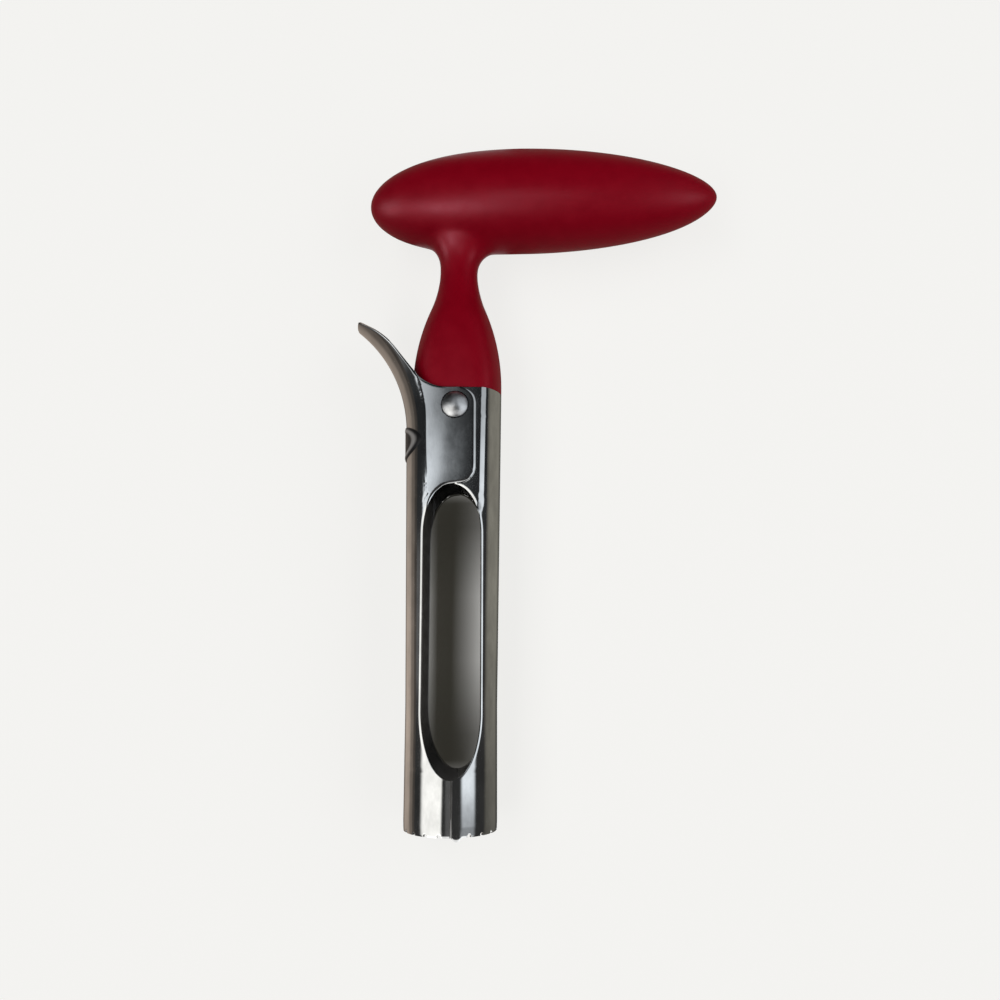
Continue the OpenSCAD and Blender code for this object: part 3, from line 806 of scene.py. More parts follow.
def rivet_head(name, side):
    """A domed head with a rounded rim. side is 1 at the front and -1 at the rear."""
    t, v = sizes("tube", "lever")
    dome = (v.head_r ** 2 + v.head_h ** 2) / (2 * v.head_h)
    obj, unit = ball(name, 96, 160)
    seat = t.lever_flat + v.play
    put(obj, unit * dome + [PIVOT.x, PIVOT.y, seat + v.head_h - dome])
    plane = Vector((0, 0, seat * MM))
    edit(obj, lambda: bpy.ops.mesh.bisect(plane_co=plane, plane_no=(0, 0, 1), use_fill=True,
                                          clear_inner=True))
    if side < 0:
        obj.data.transform(Matrix.Scale(-1, 4, (0, 0, 1)))
    weld(obj)
    return obj


def rivet(sink=0.3, rim_shade_from=0.9, rim_shade_full=0.97):
    """The rivet's two halves: a pin with the front head and a post with the rear head."""
    t, v = sizes("tube", "lever")
    seat = t.lever_flat + v.play
    pivot = Matrix.Translation((PIVOT.x * MM, PIVOT.y * MM, 0))
    made = []
    for name, side in (("rivet_front", 1), ("rivet_rear", -1)):
        head = rivet_head(name, side)
        if side > 0:
            shank = cylinder("shank", v.pin_r, seat - sink, seat + sink, pivot)
        else:
            shank = cylinder("shank", v.post_r, -seat, seat, pivot)
        obj = join([head, shank], name)
        modify(obj, "BEVEL", width=v.head_round * MM, segments=3, limit_method="ANGLE",
               angle_limit=math.radians(35))
        smooth(obj, 50)
        # Marks each head's outer rim for a near-black ring: painted shade where the head meets the ear
        reach = np.hypot(*(points(obj)[:, :2] - PIVOT[:2]).T) / v.head_r
        mark(obj, "grime", fade(rim_shade_from, rim_shade_full, reach))
        made.append(obj)
    return made


def badge(rows=49, rim_from=0.94, rim_sink=0.15):
    """The blank oval badge, which follows the lever's wall, with a raised bead."""
    t, v = sizes("tube", "lever")
    half = Half(t, v, -1)
    square = np.linspace(-1, 1, rows)
    a, b = np.meshgrid(square, square)
    p, q = a * np.sqrt(1 - b ** 2 / 2), b * np.sqrt(1 - a ** 2 / 2)
    reach = np.hypot(p, q)
    y = PIVOT.y - v.badge_back + v.badge_b * p
    z = v.badge_a * q
    straight = np.sqrt(half.bend_tube_r ** 2 - z ** 2)
    bend_r = half.bend_c - straight
    bent = half.bend_c - np.sqrt(bend_r ** 2 - np.maximum(y - half.bend_y, 0) ** 2)
    x = -np.where(y > half.bend_y, bent, straight + tube_slope(t) * (y - half.bend_y))
    bead = fade(v.bead_foot, v.bead_top, np.abs(reach - v.bead_at))
    rim = np.clip((reach - rim_from) / (1 - rim_from), 0, 1) ** 2
    lift = v.badge_h + v.bead_h * bead - (v.badge_h + rim_sink) * rim
    x = x - lift * straight / half.bend_tube_r
    z = z + lift * z / half.bend_tube_r
    obj = grid("badge", np.stack([x, y, z], axis=2))
    middle = obj.data.polygons[len(obj.data.polygons) // 2]
    if middle.normal.x > 0:
        edit(obj, bpy.ops.mesh.flip_normals)
    # The bead's mask also places the badge's painted highlight
    mark(obj, "bead", bead)
    modify(obj, "SOLIDIFY", thickness=(v.badge_h + v.badge_sink) * MM, offset=-1)
    smooth(obj, 60)
    return obj


class Spring:
    """The path of the return spring's wire, in millimetres."""

    def __init__(self, t, v):
        leave = v.leg_angle - math.pi / 2
        sweep = 2 * math.pi * v.coil_turns + leave
        rise = v.coil_pitch * sweep / (2 * math.pi)
        self.top = rise / 2
        self.leave = Vector((PIVOT.x + v.coil_r * math.cos(leave),
                             PIVOT.y + v.coil_r * math.sin(leave), 0))
        heading = Vector((math.cos(v.leg_angle), math.sin(v.leg_angle), 0))
        leg_l = self.leg_length(t, v, heading)
        self.tip = self.leave + heading * leg_l
        rest = [(PIVOT.x + v.coil_r, PIVOT.y - k, -self.top)
                for k in np.linspace(v.rest_leg_l, 0, 9, endpoint=False)]
        turns = np.linspace(0, sweep, 24 * v.coil_turns + 5)
        coil = np.column_stack([PIVOT.x + v.coil_r * np.cos(turns),
                                PIVOT.y + v.coil_r * np.sin(turns), rise * turns / sweep - self.top])
        leg = [(*(self.leave + heading * k)[:2], self.top) for k in np.linspace(0, leg_l, 24)[1:]]
        self.path = np.concatenate([rest, coil, leg])

    def leg_length(self, t, v, heading, shortest=5.0, longest=40.0, halvings=40):
        """Length of the pushing leg, whose tip rests on the lever's inner wall."""
        half = Half(t, v, -1)
        wire = v.wire_d / 2
        inner = half.bend_tube_r - t.sheet_t
        wall = half.bend_c - math.sqrt(inner ** 2 - (self.top + wire) ** 2)
        for _ in range(halvings):
            middle = (shortest + longest) / 2
            tip = self.leave + heading * middle
            gap = math.hypot(tip.x + half.bend_c, tip.y - half.bend_y) - wall
            if gap > wire + v.leg_gap:
                shortest = middle
            else:
                longest = middle
        return shortest


def return_spring(sides=16):
    """One unbroken round wire from its resting leg round the coil to its pushing leg."""
    t, v = sizes("tube", "lever")
    path = Spring(t, v).path
    ahead = np.gradient(path, axis=0)
    ahead /= np.linalg.norm(ahead, axis=1)[:, None]
    side = np.cross(ahead, [0, 0, 1])
    side /= np.linalg.norm(side, axis=1)[:, None]
    up = np.cross(side, ahead)
    a = np.linspace(0, 2 * math.pi, sides + 1)
    ring = np.cos(a)[None, :, None] * side[:, None] + np.sin(a)[None, :, None] * up[:, None]
    obj = grid("spring_wire", path[:, None] + v.wire_d / 2 * ring)
    edit(obj, lambda: bpy.ops.mesh.remove_doubles(threshold=1e-6),
         lambda: bpy.ops.mesh.select_all(action="DESELECT"),
         lambda: bpy.ops.mesh.select_non_manifold(),
         lambda: bpy.ops.mesh.edge_face_add(),
         lambda: bpy.ops.mesh.select_all(action="SELECT"),
         lambda: bpy.ops.mesh.normals_make_consistent(inside=False))
    smooth(obj, 50)
    return obj


# Finishes


def node(tree, kind, at, **sockets):
    """Adds one node and sets its inputs."""
    made = tree.nodes.new(kind)
    made.location = at
    for key, value in sockets.items():
        made.inputs[key.replace("_", " ")].default_value = value
    return made


def grain_group():
    """A node group that mottles a roughness and gives the height of a fine grain."""
    name = "Surface grain"
    if name in bpy.data.node_groups:
        return bpy.data.node_groups[name]
    tree = bpy.data.node_groups.new(name, "ShaderNodeTree")
    for key, kind in (("Vector", "NodeSocketVector"), ("Mottle scale", "NodeSocketFloat"),
                      ("Grain scale", "NodeSocketFloat"), ("Smoothest", "NodeSocketFloat"),
                      ("Roughest", "NodeSocketFloat")):
        tree.interface.new_socket(key, in_out="INPUT", socket_type=kind)
    for key in ("Roughness", "Mottle", "Grain"):
        tree.interface.new_socket(key, in_out="OUTPUT", socket_type="NodeSocketFloat")
    into = node(tree, "NodeGroupInput", (-600, 0))
    out = node(tree, "NodeGroupOutput", (400, 0))
    mottle = node(tree, "ShaderNodeTexNoise", (-300, 150), Detail=4.0, Roughness=0.6)
    grain = node(tree, "ShaderNodeTexNoise", (-300, -150), Detail=2.0, Roughness=0.5)
    rough = node(tree, "ShaderNodeMapRange", (0, 150), From_Min=0.3, From_Max=0.7)
    patches = node(tree, "ShaderNodeMapRange", (0, -50), From_Min=0.3, From_Max=0.7)
    link = tree.links.new
    link(into.outputs["Vector"], mottle.inputs["Vector"])
    link(into.outputs["Vector"], grain.inputs["Vector"])
    link(into.outputs["Mottle scale"], mottle.inputs["Scale"])
    link(into.outputs["Grain scale"], grain.inputs["Scale"])
    link(mottle.outputs["Fac"], rough.inputs["Value"])
    link(into.outputs["Smoothest"], rough.inputs["To Min"])
    link(into.outputs["Roughest"], rough.inputs["To Max"])
    link(rough.outputs["Result"], out.inputs["Roughness"])
    link(mottle.outputs["Fac"], patches.inputs["Value"])
    link(patches.outputs["Result"], out.inputs["Mottle"])
    link(grain.outputs["Fac"], out.inputs["Grain"])
    return tree


def surface(name, base, dark, smoothest, roughest, mottle, grain, bump, waves=0.0, wave_scale=70.0,
            stretch=(1, 1, 1), **sockets):
    """A mottled, grained material. dark is the share of the base colour in its darkest patches, mottle
    and grain are noise scales, and bump and waves are heights in millimetres."""
    material = bpy.data.materials.new(name)
    material.use_nodes = True
    tree = material.node_tree
    link = tree.links.new
    shader = tree.nodes["Principled BSDF"]
    for key, value in sockets.items():
        shader.inputs[key.replace("_", " ")].default_value = value
    place = node(tree, "ShaderNodeTexCoord", (-1200, 0))
    turn = node(tree, "ShaderNodeMapping", (-1000, 0))
    turn.inputs["Scale"].default_value = stretch
    rough = tree.nodes.new("ShaderNodeGroup")
    rough.node_tree = grain_group()
    rough.location = (-800, 0)
    for key, value in (("Mottle scale", mottle), ("Grain scale", grain),
                       ("Smoothest", smoothest), ("Roughest", roughest)):
        rough.inputs[key].default_value = value
    tint = node(tree, "ShaderNodeMix", (-400, 200))
    tint.data_type = "RGBA"
    tint.inputs["A"].default_value = (*[dark * k for k in base], 1)
    tint.inputs["B"].default_value = (*base, 1)
    link(place.outputs["Object"], turn.inputs["Vector"])
    link(turn.outputs["Vector"], rough.inputs["Vector"])
    link(rough.outputs["Mottle"], tint.inputs["Factor"])
    link(tint.outputs["Result"], shader.inputs["Base Color"])
    link(rough.outputs["Roughness"], shader.inputs["Roughness"])
    height = node(tree, "ShaderNodeBump", (-400, -250), Strength=1.0, Distance=bump * MM)
    link(rough.outputs["Grain"], height.inputs["Height"])
    if waves:
        swell = node(tree, "ShaderNodeTexNoise", (-800, -400), Scale=wave_scale, Detail=1.0)
        roll = node(tree, "ShaderNodeBump", (-600, -400), Strength=1.0, Distance=waves * MM)
        link(place.outputs["Object"], swell.inputs["Vector"])
        link(swell.outputs["Fac"], roll.inputs["Height"])
        link(roll.outputs["Normal"], height.inputs["Normal"])
    link(height.outputs["Normal"], shader.inputs["Normal"])
    return material


def masked(material, key, tone):
    """Gives the piece another tone where its own values marked with this key are 1."""
    tree = material.node_tree
    shader = tree.nodes["Principled BSDF"]
    mask = node(tree, "ShaderNodeAttribute", (-600, 500))
    mask.attribute_name = key
    under = shader.inputs["Base Color"].links[0].from_socket
    tint = node(tree, "ShaderNodeMix", (-200, 400))
    tint.data_type = "RGBA"
    tint.inputs["B"].default_value = (*tone, 1)
    tree.links.new(mask.outputs["Fac"], tint.inputs["Factor"])
    tree.links.new(under, tint.inputs["A"])
    tree.links.new(tint.outputs["Result"], shader.inputs["Base Color"])


def finishes():
    """All finishes by name, made once."""
    f = settings().finish
    if "Polished steel" not in bpy.data.materials:
        gloss, skin = f.steel_gloss, f.grip_gloss
        surface("Crimson skin", f.crimson, dark=0.9, smoothest=skin - 0.05, roughest=skin + 0.05,
                mottle=260, grain=5200, bump=0.012, Specular_IOR_Level=0.07,
                Specular_Tint=(1, 0.4, 0.5, 1))
        surface("Polished steel", f.steel, dark=0.7, smoothest=gloss * 0.7, roughest=gloss * 1.5,
                mottle=210, grain=2600, bump=0.0004, waves=0.01, stretch=(1, 0.5, 1), Metallic=1.0)
        # The sheet's inner faces: the steel painted darker as painted shade inside the tube, and rougher
        surface("Steel inside", f.inside, dark=0.85, smoothest=0.34, roughest=0.5, mottle=240,
                grain=2600, bump=0.002, Metallic=1.0)
        rivet_steel = surface("Rivet steel", f.rivet, dark=0.6, smoothest=0.3, roughest=0.42,
                              mottle=420, grain=4000, bump=0.0002, Metallic=1.0)
        # The heads' rims take the core's near-black colour: a painted shade ring round each rivet head
        masked(rivet_steel, "grime", f.core)
        badge_black = surface("Badge black", f.badge, dark=0.8, smoothest=0.3, roughest=0.42,
                              mottle=600, grain=6000, bump=0.001, Specular_IOR_Level=0.12)
        # The bead takes a lighter grey: a painted highlight along the badge's raised bead
        masked(badge_black, "bead", f.lip)
        surface("Core plastic", f.core, dark=0.8, smoothest=0.45, roughest=0.6, mottle=300,
                grain=4000, bump=0.004)
        surface("Washer nylon", f.washer, dark=0.94, smoothest=0.35, roughest=0.5, mottle=400,
                grain=3000, bump=0.003)
        surface("Spring wire", f.spring, dark=0.85, smoothest=0.2, roughest=0.34, mottle=900,
                grain=5000, bump=0.001, Metallic=1.0)
        surface("Rod steel", f.spring, dark=0.85, smoothest=0.24, roughest=0.38, mottle=500,
                grain=4000, bump=0.002, stretch=(1, 0.05, 1), Metallic=1.0)
    return bpy.data.materials


# Operators


class CORER_OT_grip(bpy.types.Operator):
    """Models the soft T handle and its neck"""

    bl_idname = "corer.grip"
    bl_label = "Grip"

    def execute(self, context):
        dress(grip_skin(), finishes()["Crimson skin"], "handle", "grip", "grip_skin")
        return {"FINISHED"}


class CORER_OT_halves(bpy.types.Operator):
    """Models the fixed half of the tube and the lever half with its thumb tongue"""

    bl_idname = "corer.halves"
    bl_label = "Tube halves"

    def execute(self, context):
        steel = finishes()["Polished steel"]
        dress(half_shell("fixed_half", 1, rows=96), steel, "handle", "tube_steel", "fixed_shell")
        dress(half_shell("lever_half", -1, rows=116), steel, "lever", "tube_steel", "lever_shell")
        return {"FINISHED"}


class CORER_OT_badge(bpy.types.Operator):
    """Models the blank oval badge on the lever"""

    bl_idname = "corer.badge"
    bl_label = "Badge"

    def execute(self, context):
        dress(badge(), finishes()["Badge black"], "lever", "badge", "lever_badge")
        return {"FINISHED"}


class CORER_OT_rivet(bpy.types.Operator):
    """Models the pivot rivet's two halves"""

    bl_idname = "corer.rivet"
    bl_label = "Pivot rivet"

    def execute(self, context):
        front, rear = rivet()
        dress(front, finishes()["Rivet steel"], "handle", "rivet_steel", "rivet_pin")
        dress(rear, finishes()["Rivet steel"], "handle", "rivet_steel", "rivet_post")
        return {"FINISHED"}


class CORER_OT_spring(bpy.types.Operator):
    """Models the return spring, whose pushing leg reaches the lever's inner wall"""

    bl_idname = "corer.spring"
    bl_label = "Return spring"

    def execute(self, context):
        t, v = sizes("tube", "lever")
        wire = return_spring()
        wire.data.materials.append(finishes()["Spring wire"])
        path = Spring(t, v)
        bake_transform(wire)
        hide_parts("return_spring")
        return {"FINISHED"}


class CORER_OT_inside(bpy.types.Operator):
    """Gives the core, the rod and the washers their finishes"""

    bl_idname = "corer.inside"
    bl_label = "Inner pieces"

    def execute(self, context):
        for name, finish in (("handle_core", "Core plastic"), ("neck_rod", "Rod steel"),
                             ("front_washer", "Washer nylon"), ("rear_washer", "Washer nylon")):
            obj = frame["nodes"][name]
            obj.data.materials.clear()
            obj.data.materials.append(finishes()[finish])
        return {"FINISHED"}


# The stage


def seen(tree):
    """1 for rays that show the background: straight from the camera, mirrored or through glass."""
    path = node(tree, "ShaderNodeLightPath", (-900, 300))
    first = node(tree, "ShaderNodeMath", (-700, 300))
    both = node(tree, "ShaderNodeMath", (-500, 300))
    for largest in (first, both):
        largest.operation = "MAXIMUM"
    tree.links.new(path.outputs["Is Camera Ray"], first.inputs[0])
    tree.links.new(path.outputs["Is Glossy Ray"], first.inputs[1])
    tree.links.new(first.outputs[0], both.inputs[0])
    tree.links.new(path.outputs["Is Transmission Ray"], both.inputs[1])
    return both.outputs[0]


# The shade under the slots. Its edge and its depth are shares of the covered stretch's half size
SHADE_FROM, SHADE_TO = 0.8, 1.1
DEEP_FROM, DEEP_TO = 0.2, 0.65
# The floor's tone in the shade, at the slots' middle and at their ends, and its own weak light there
DEEP_MIDDLE, DEEP_END = 0.76, 0.26
SHADE_GLOW, SHADE_LIGHT = 0.3, 0.09
# The shade reaches this far past the slots' sides and ends, in millimetres
COVER_SIDE, COVER_END = 1.75, 6.75
# The floor lies this far below the part, in millimetres
FLOOR_GAP = 0.05


def floor_height(y):
    """Height of the floor at y. It carries the tube's mouth and the handle."""
    t, g = sizes("tube", "grip")
    handle_y = t.tube_l + g.waist_l + g.handle_l
    return (t.mouth_r - g.handle_d / 2) / handle_y * y - t.mouth_r - FLOOR_GAP


def floor_material(base, under, glow, cover):
    """Pale matt floor that glows towards the camera, less so in the shade under the slots. cover is the
    shade's half width, half length and middle, in metres."""
    material = bpy.data.materials.new("Pale floor")
    material.use_nodes = True
    tree = material.node_tree
    link = tree.links.new
    matt = tree.nodes["Principled BSDF"]
    matt.inputs["Roughness"].default_value = 0.9
    matt.inputs["Specular IOR Level"].default_value = 0.1
    place = node(tree, "ShaderNodeTexCoord", (-1300, -200))
    inside = node(tree, "ShaderNodeMapping", (-1100, -200))
    inside.vector_type = "TEXTURE"
    inside.inputs["Location"].default_value = (0, cover[2], 0)
    inside.inputs["Scale"].default_value = (cover[0], cover[1], 1)
    size = node(tree, "ShaderNodeVectorMath", (-900, -200))
    size.operation = "ABSOLUTE"
    parts = node(tree, "ShaderNodeSeparateXYZ", (-700, -200))
    far = node(tree, "ShaderNodeMath", (-500, -200))
    far.operation = "MAXIMUM"
    shade = node(tree, "ShaderNodeMapRange", (-300, -200), From_Min=SHADE_FROM, From_Max=SHADE_TO,
                 To_Min=SHADE_GLOW, To_Max=glow)
    amount = node(tree, "ShaderNodeMath", (-100, 100))
    amount.operation = "MULTIPLY"
    light = node(tree, "ShaderNodeEmission", (0, -400), Strength=1.0)
    glimmer = node(tree, "ShaderNodeMix", (-100, -400))
    glimmer.data_type = "RGBA"
    glimmer.inputs["A"].default_value = (*[k * SHADE_LIGHT for k in under], 1)
    glimmer.inputs["B"].default_value = (*base, 1)
    mix = node(tree, "ShaderNodeMixShader", (400, 0))
    link(place.outputs["Object"], inside.inputs["Vector"])
    link(inside.outputs["Vector"], size.inputs[0])
    link(size.outputs["Vector"], parts.inputs["Vector"])
    link(parts.outputs["X"], far.inputs[0])
    link(parts.outputs["Y"], far.inputs[1])
    link(far.outputs[0], shade.inputs["Value"])
    link(seen(tree), amount.inputs[0])
    link(shade.outputs["Result"], amount.inputs[1])
    deep = node(tree, "ShaderNodeMapRange", (-500, 200), From_Min=DEEP_FROM, From_Max=DEEP_TO,
                To_Min=DEEP_MIDDLE, To_Max=DEEP_END)
    ground = node(tree, "ShaderNodeMapRange", (-300, 200), From_Min=SHADE_FROM, From_Max=SHADE_TO)
    tone = node(tree, "ShaderNodeMix", (-100, 300))
    tone.data_type = "FLOAT"
    tone.inputs["B"].default_value = 1.0
    tint = node(tree, "ShaderNodeVectorMath", (0, 300))
    tint.operation = "SCALE"
    tint.inputs[0].default_value = base
    link(parts.outputs["Y"], deep.inputs["Value"])
    link(far.outputs[0], ground.inputs["Value"])
    link(ground.outputs["Result"], tone.inputs["Factor"])
    link(ground.outputs["Result"], glimmer.inputs["Factor"])
    link(glimmer.outputs["Result"], light.inputs["Color"])
    link(deep.outputs["Result"], tone.inputs["A"])
    link(tone.outputs["Result"], tint.inputs["Scale"])
    link(tint.outputs["Vector"], matt.inputs["Base Color"])
    link(amount.outputs[0], mix.inputs["Fac"])
    link(matt.outputs[0], mix.inputs[1])
    link(light.outputs[0], mix.inputs[2])
    link(mix.outputs[0], tree.nodes["Material Output"].inputs["Surface"])
    material.cycles.emission_sampling = "NONE"
    return material


# The light tent, in millimetres: its radius, the gap between the tube's axis and its base, the height of
# its base above the floor, its stretch along Y with the step from row to row, and the height of its ends
TENT_R = 300.0
TENT_GAP = 14.0
TENT_LIFT = 0.4
TENT_START, TENT_END, TENT_STEP = -360.0, 470.0, 10.0
TENT_END_HEIGHT = 60
# How far its roof goes down on each side, in degrees from overhead
TENT_SIDE = 92
# Points across each side of its base, and the base's least light
BASE_POINTS = 60
BASE_LEAST = 0.03
# The tube mirrors a stretch of the tent that is this much longer than its own, round this place
MIRROR_STRETCH = 2.25
MIRROR_MIDDLE = 46

# In the functions below, along is the place on the tube, in millimetres, that mirrors a point of the tent,
# and turn is the point's angle from overhead, in degrees, negative on the left


def left_panel_light(along, turn):
    """Light of the left panel. It is wide beside the slots, and narrow over the ears."""
    start = np.interp(along, [80, 87], [-74, -13])
    start_soft = np.interp(along, [60, 90], [10, 3])
    end = np.interp(along, [0, 10, 88, 96, 106, 112], [-18, -17, -5.5, -5.5, -6.4, -6.6])
    end_soft = np.interp(along, [0, 92], [3, 0.9])
    light = np.interp(along, [30, 85, 90, 97, 104], [1.84, 1.6, 1.4, 1.05, 0.85])
    return light * fade(start - 2, start + start_soft, turn) * (
        1 - fade(end - end_soft, end + end_soft, turn))


def right_panel_light(along, turn):
    """Light of the right panel, weaker at the mouth and over the ears."""
    start = np.interp(along, [0, 20, 60, 75], [31, 29, 28, 12])
    end = np.interp(along, [20, 35], [59, 66])
    light = np.interp(along, [1, 12, 85, 102], [0.45, 1.75, 1.5, 0.8])
    return light * fade(start - 4, start + 5, turn) * (1 - fade(end, end + 10, turn))


def gap_light(along, turn, y):
    """Weak light of the dark gaps, with soft glows beside the ears, the seam, the slots and the mouth."""
    ears = fade(80, 90, along)
    mouth = 1 - fade(30, 40, along)
    slots = fade(25, 35, along) * (1 - fade(62, 72, along))
    before = fade(-250, -200, y) * (1 - fade(-130, -90, y))
    ear_glow = 0.16 * ears * np.clip((-1.9 - turn) / 3.5, 0, 1) * (turn > -9)
    seam_glow = 0.12 * mouth * (1 - fade(3, 9, np.abs(turn + 2)))
    side_glow = 0.13 * slots * (1 - fade(-82, -72, turn))
    front_glow = 1.4 * before * (1 - fade(50, 70, np.abs(turn)))
    return 0.055 - 0.02 * ears + ear_glow + seam_glow + side_glow + front_glow


def base_light(s, along, turn, out):
    """Colour of the tent's base, brightest beside the tube."""
    away = np.abs(out)
    start = fade(14, 24, away)
    left = start * (1 - 0.55 * fade(38, 56, away) - 0.3 * fade(75, 120, away))
    left = left * np.interp(along, [25, 40, 75], [0.75, 1, 0.55])
    right = start * (1 - 0.55 * fade(70, 200, away)) * np.interp(along, [20, 50], [0.42, 1])
    left = left[..., None] * np.array(s.left_base)
    right = right[..., None] * np.array(s.right_base)
    return np.where((turn < 0)[..., None], left, right) + BASE_LEAST


def tent_light(s, turn, out, y):
    """Colour of the light tent at y. out is X on its base, in millimetres, and 0 on its roof."""
    along = MIRROR_MIDDLE + (y - MIRROR_MIDDLE) / MIRROR_STRETCH
    top = fade(60, 85, along)[..., None]
    pale, cool = np.array(s.left_panel), np.array(s.right_panel)
    left = left_panel_light(along, turn)[..., None] * (pale + (cool - pale) * top)
    right = right_panel_light(along, turn)[..., None] * cool
    gaps = gap_light(along, turn, y)[..., None] * (1 + (cool - 1) * top)
    on_roof = (out == 0)[..., None]
    return np.where(on_roof, left + right + gaps, base_light(s, along, turn, out))


def tent_cloth():
    """Glows with the tent's painted light, for rays that haven't met a matt surface."""
    cloth = bpy.data.materials.new("Tent cloth")
    cloth.use_nodes = True
    tree = cloth.node_tree
    tree.nodes.remove(tree.nodes["Principled BSDF"])
    glow = node(tree, "ShaderNodeEmission", (0, 0))
    path = node(tree, "ShaderNodeLightPath", (-600, -200))
    first = node(tree, "ShaderNodeMath", (-300, -200))
    first.operation = "LESS_THAN"
    first.inputs[1].default_value = 0.5
    tone = node(tree, "ShaderNodeAttribute", (-300, 0))
    tone.attribute_name = "light"
    tree.links.new(path.outputs["Diffuse Depth"], first.inputs[0])
    tree.links.new(first.outputs[0], glow.inputs["Strength"])
    tree.links.new(tone.outputs["Color"], glow.inputs["Color"])
    tree.links.new(glow.outputs[0], tree.nodes["Material Output"].inputs["Surface"])
    cloth.cycles.emission_sampling = "NONE"
    return cloth


def light_tent(s, faded_rows=12, faded_light=0.1, start_light=0.08):
    """A tunnel of pale panels and dark gaps along the tube, which only shows in reflections."""
    turn = np.arange(-TENT_SIDE, TENT_SIDE + 0.1, 1)
    roof, base = np.radians(turn), np.linspace(TENT_GAP, TENT_R, BASE_POINTS)
    flat, none = np.zeros(BASE_POINTS), np.zeros(len(turn))
    x = np.concatenate([-base, TENT_R * np.sin(roof), base[::-1]])
    z = np.concatenate([flat, TENT_R * np.cos(roof), flat])
    side = np.concatenate([flat - TENT_SIDE, turn, flat + TENT_SIDE])
    out = np.concatenate([-base, none, base[::-1]])
    rows = np.arange(TENT_START, TENT_END + 1, TENT_STEP)
    y = np.repeat(rows[:, None], len(x), axis=1)
    shape = y.shape
    where = np.stack([np.broadcast_to(x, shape), y, np.broadcast_to(z, shape)], axis=2)
    where[:, out != 0, 2] = floor_height(rows)[:, None] + TENT_LIFT
    light = tent_light(s, np.broadcast_to(side, shape), np.broadcast_to(out, shape), y)
    light[-faded_rows:] *= np.linspace(1, faded_light, faded_rows)[:, None, None]
    light[:2] = start_light
    where[0], where[-1] = (0, rows[0], TENT_END_HEIGHT), (0, rows[-1], TENT_END_HEIGHT)
    obj = grid("light_tent", where)
    paint = obj.data.attributes.new("light", "FLOAT_COLOR", "POINT")
    paint.data.foreach_set(
        "color", np.concatenate([light, np.ones(shape + (1,))], axis=2).ravel().astype(np.float32))
    obj.data.materials.append(tent_cloth())
    obj.visible_camera = obj.visible_diffuse = obj.visible_shadow = obj.visible_transmission = False


# Lamps: name, place and aim, width and height in metres, and light
MAIN_LAMPS = (
    ("left_box", (-0.3, 0.06, 0.55), (0, 0.06, 0), 1.1, 0.3, 3.0),
    ("right_box", (0.5, 0.06, 0.42), (0, 0.06, 0), 1.1, 0.4, 2.0),
)
# Lamps that only put a highlight on the skin. Their light is a multiple of the lamp setting
SHEEN_LAMPS = (
    ("top_sheen", (0.02, 0.1, 0.32), (0.02, 0.165, 0), 0.1, 0.05, 1.0),
    ("front_sheen", (-0.12, -0.01, 0.29), (-0.02, 0.163, 0), 0.16, 0.1, 1.8),
    ("left_sheen", (-0.28, 0.1, 0.12), (-0.02, 0.163, 0), 0.15, 0.15, 0.75),
    ("right_sheen", (0.3, 0.12, 0.16), (0.066, 0.165, 0.01), 0.15, 0.15, 0.3),
)


def softbox(name, at, aim, width, height, radiance, sheen=None):
    """A soft lamp at a place, facing another, in metres. With sheen, it is only a highlight there."""
    data = bpy.data.lights.new(name, "AREA")
    data.shape = "RECTANGLE"
    data.size, data.size_y = width, height
    data.energy = radiance * math.pi * width * height
    obj = bpy.data.objects.new(name, data)
    bpy.context.scene.collection.objects.link(obj)
    obj.location = at
    obj.rotation_euler = (Vector(aim) - Vector(at)).to_track_quat("-Z", "Y").to_euler()
    obj.visible_camera = False
    obj.visible_glossy, obj.visible_diffuse = bool(sheen), not sheen
    obj.light_linking.receiver_collection = sheen


def studio_floor(s, size=12):
    """The pale floor, sloped so that the tube's mouth and the handle both rest on it."""
    t, = sizes("tube")
    bpy.ops.object.select_all(action="DESELECT")
    bpy.ops.mesh.primitive_plane_add(size=size)
    floor = added("floor")
    place = points(floor)
    place[:, 2] = floor_height(place[:, 1])
    put(floor, place)
    cover = (t.slot_w / 2 + COVER_SIDE, (t.slot_end - t.slot_start) / 2 + COVER_END,
             (t.slot_end + t.slot_start) / 2)
    floor.data.materials.append(floor_material(s.floor, s.under, s.glow, [k * MM for k in cover]))


def studio_world(s):
    """A weak light from all round, and a white background where it is seen."""
    world = bpy.data.worlds.new("Studio")
    bpy.context.scene.world = world
    world.use_nodes = True
    tree = world.node_tree
    tone = node(tree, "ShaderNodeMix", (-300, 0))
    tone.data_type = "RGBA"
    tone.inputs["A"].default_value = (*s.fill, 1)
    tone.inputs["B"].default_value = (1, 1, 1, 1)
    back = tree.nodes["Background"]
    back.inputs["Strength"].default_value = 1.0
    tree.links.new(seen(tree), tone.inputs["Factor"])
    tree.links.new(tone.outputs["Result"], back.inputs["Color"])


def studio_lamps(s):
    """The main lamps, and the small ones that shine on the skin alone."""
    for lamp in MAIN_LAMPS:
        softbox(*lamp)
    skin = bpy.data.collections.new("skin")
    skin.objects.link(bpy.data.objects["grip"])
    for *lamp, light in SHEEN_LAMPS:
        softbox(*lamp, light * s.lamp, skin)


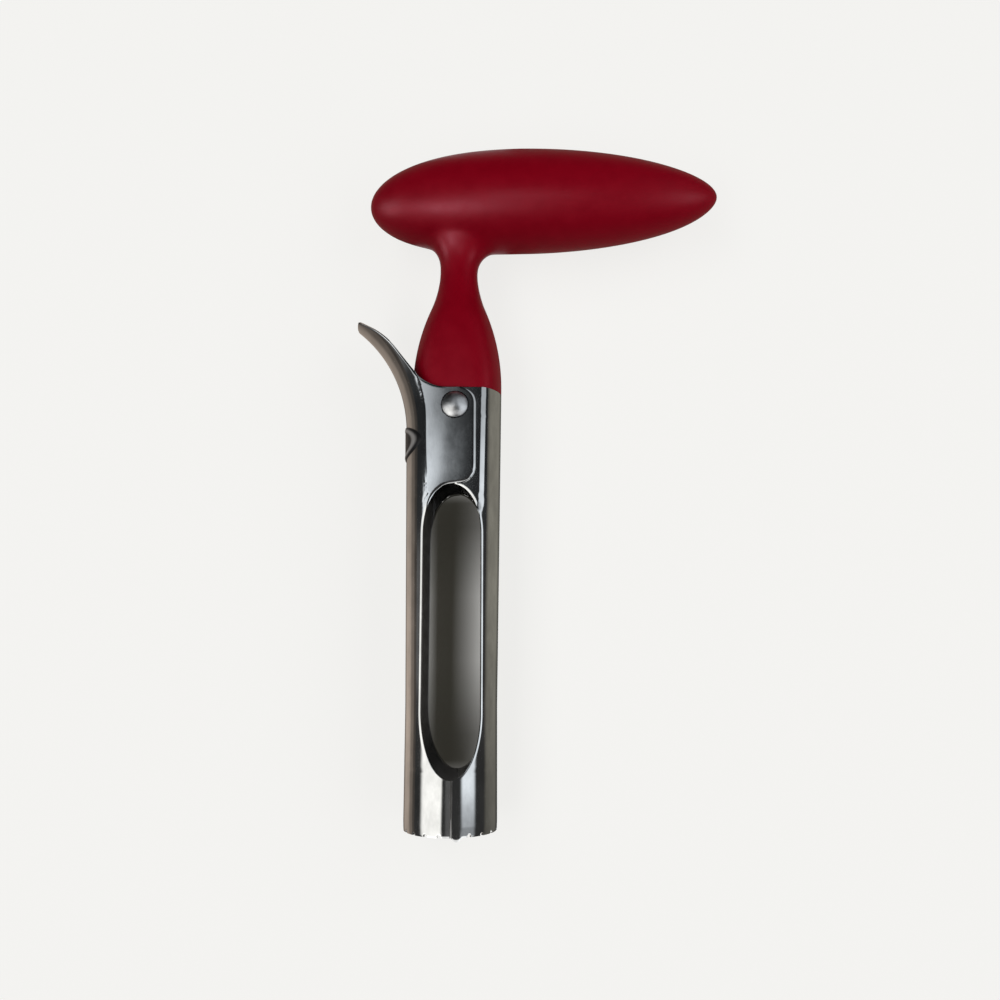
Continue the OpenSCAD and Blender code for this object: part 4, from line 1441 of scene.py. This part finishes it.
def studio_camera(s, sensor=36, nearest=0.005, farthest=50):
    """The camera above the part, which looks almost straight down."""
    data = bpy.data.cameras.new("camera")
    data.lens = s.lens
    data.sensor_width = sensor
    data.shift_y = s.shift
    data.clip_start, data.clip_end = nearest, farthest
    camera = bpy.data.objects.new("camera", data)
    scene = bpy.context.scene
    scene.collection.objects.link(camera)
    turns = [Matrix.Rotation(a, 3, axis) for a, axis in zip(s.camera_turn, "XYZ")]
    down = Matrix.Diagonal((1, -1, -1))
    seen_from = down @ turns[2] @ turns[1] @ turns[0] @ down
    camera.matrix_world = Matrix.Translation(s.camera_at) @ seen_from.transposed().to_4x4()
    scene.camera = camera
    scene.view_settings.view_transform = "Standard"


class CORER_OT_stage(bpy.types.Operator):
    """Sets the pale floor, the lamps, the light tent and the camera"""

    bl_idname = "corer.stage"
    bl_label = "Stage"

    def execute(self, context):
        s = settings().stage
        studio_floor(s)
        studio_world(s)
        studio_lamps(s)
        light_tent(s)
        studio_camera(s)
        return {"FINISHED"}


class CORER_PT_panel(bpy.types.Panel):
    """Lists the corer's pieces and its stage"""

    bl_idname = "CORER_PT_panel"
    bl_label = "Apple corer"
    bl_space_type = "VIEW_3D"
    bl_region_type = "UI"
    bl_category = "Corer"

    def draw(self, context):
        for operator in OPERATORS:
            self.layout.operator(operator.bl_idname)


OPERATORS = (CORER_OT_grip, CORER_OT_halves, CORER_OT_badge, CORER_OT_rivet, CORER_OT_spring,
             CORER_OT_inside, CORER_OT_stage)
GROUPS = (CorerTubeSettings, CorerLeverSettings, CorerGripSettings, CorerFinishSettings,
          CorerStageSettings, CorerSettings)
CLASSES = GROUPS + OPERATORS + (CORER_PT_panel,)


def register():
    """Adds the classes and the scene's settings."""
    for cls in CLASSES:
        bpy.utils.register_class(cls)
    bpy.types.Scene.corer = bpy.props.PointerProperty(type=CorerSettings)


def unregister():
    """Takes the settings and the classes away again."""
    del bpy.types.Scene.corer
    for cls in reversed(CLASSES):
        bpy.utils.unregister_class(cls)


def main():
    """Builds everything in order."""
    register()
    for operator in OPERATORS:
        group, name = operator.bl_idname.split(".")
        getattr(getattr(bpy.ops, group), name)()


if __name__ == "__main__":
    main()
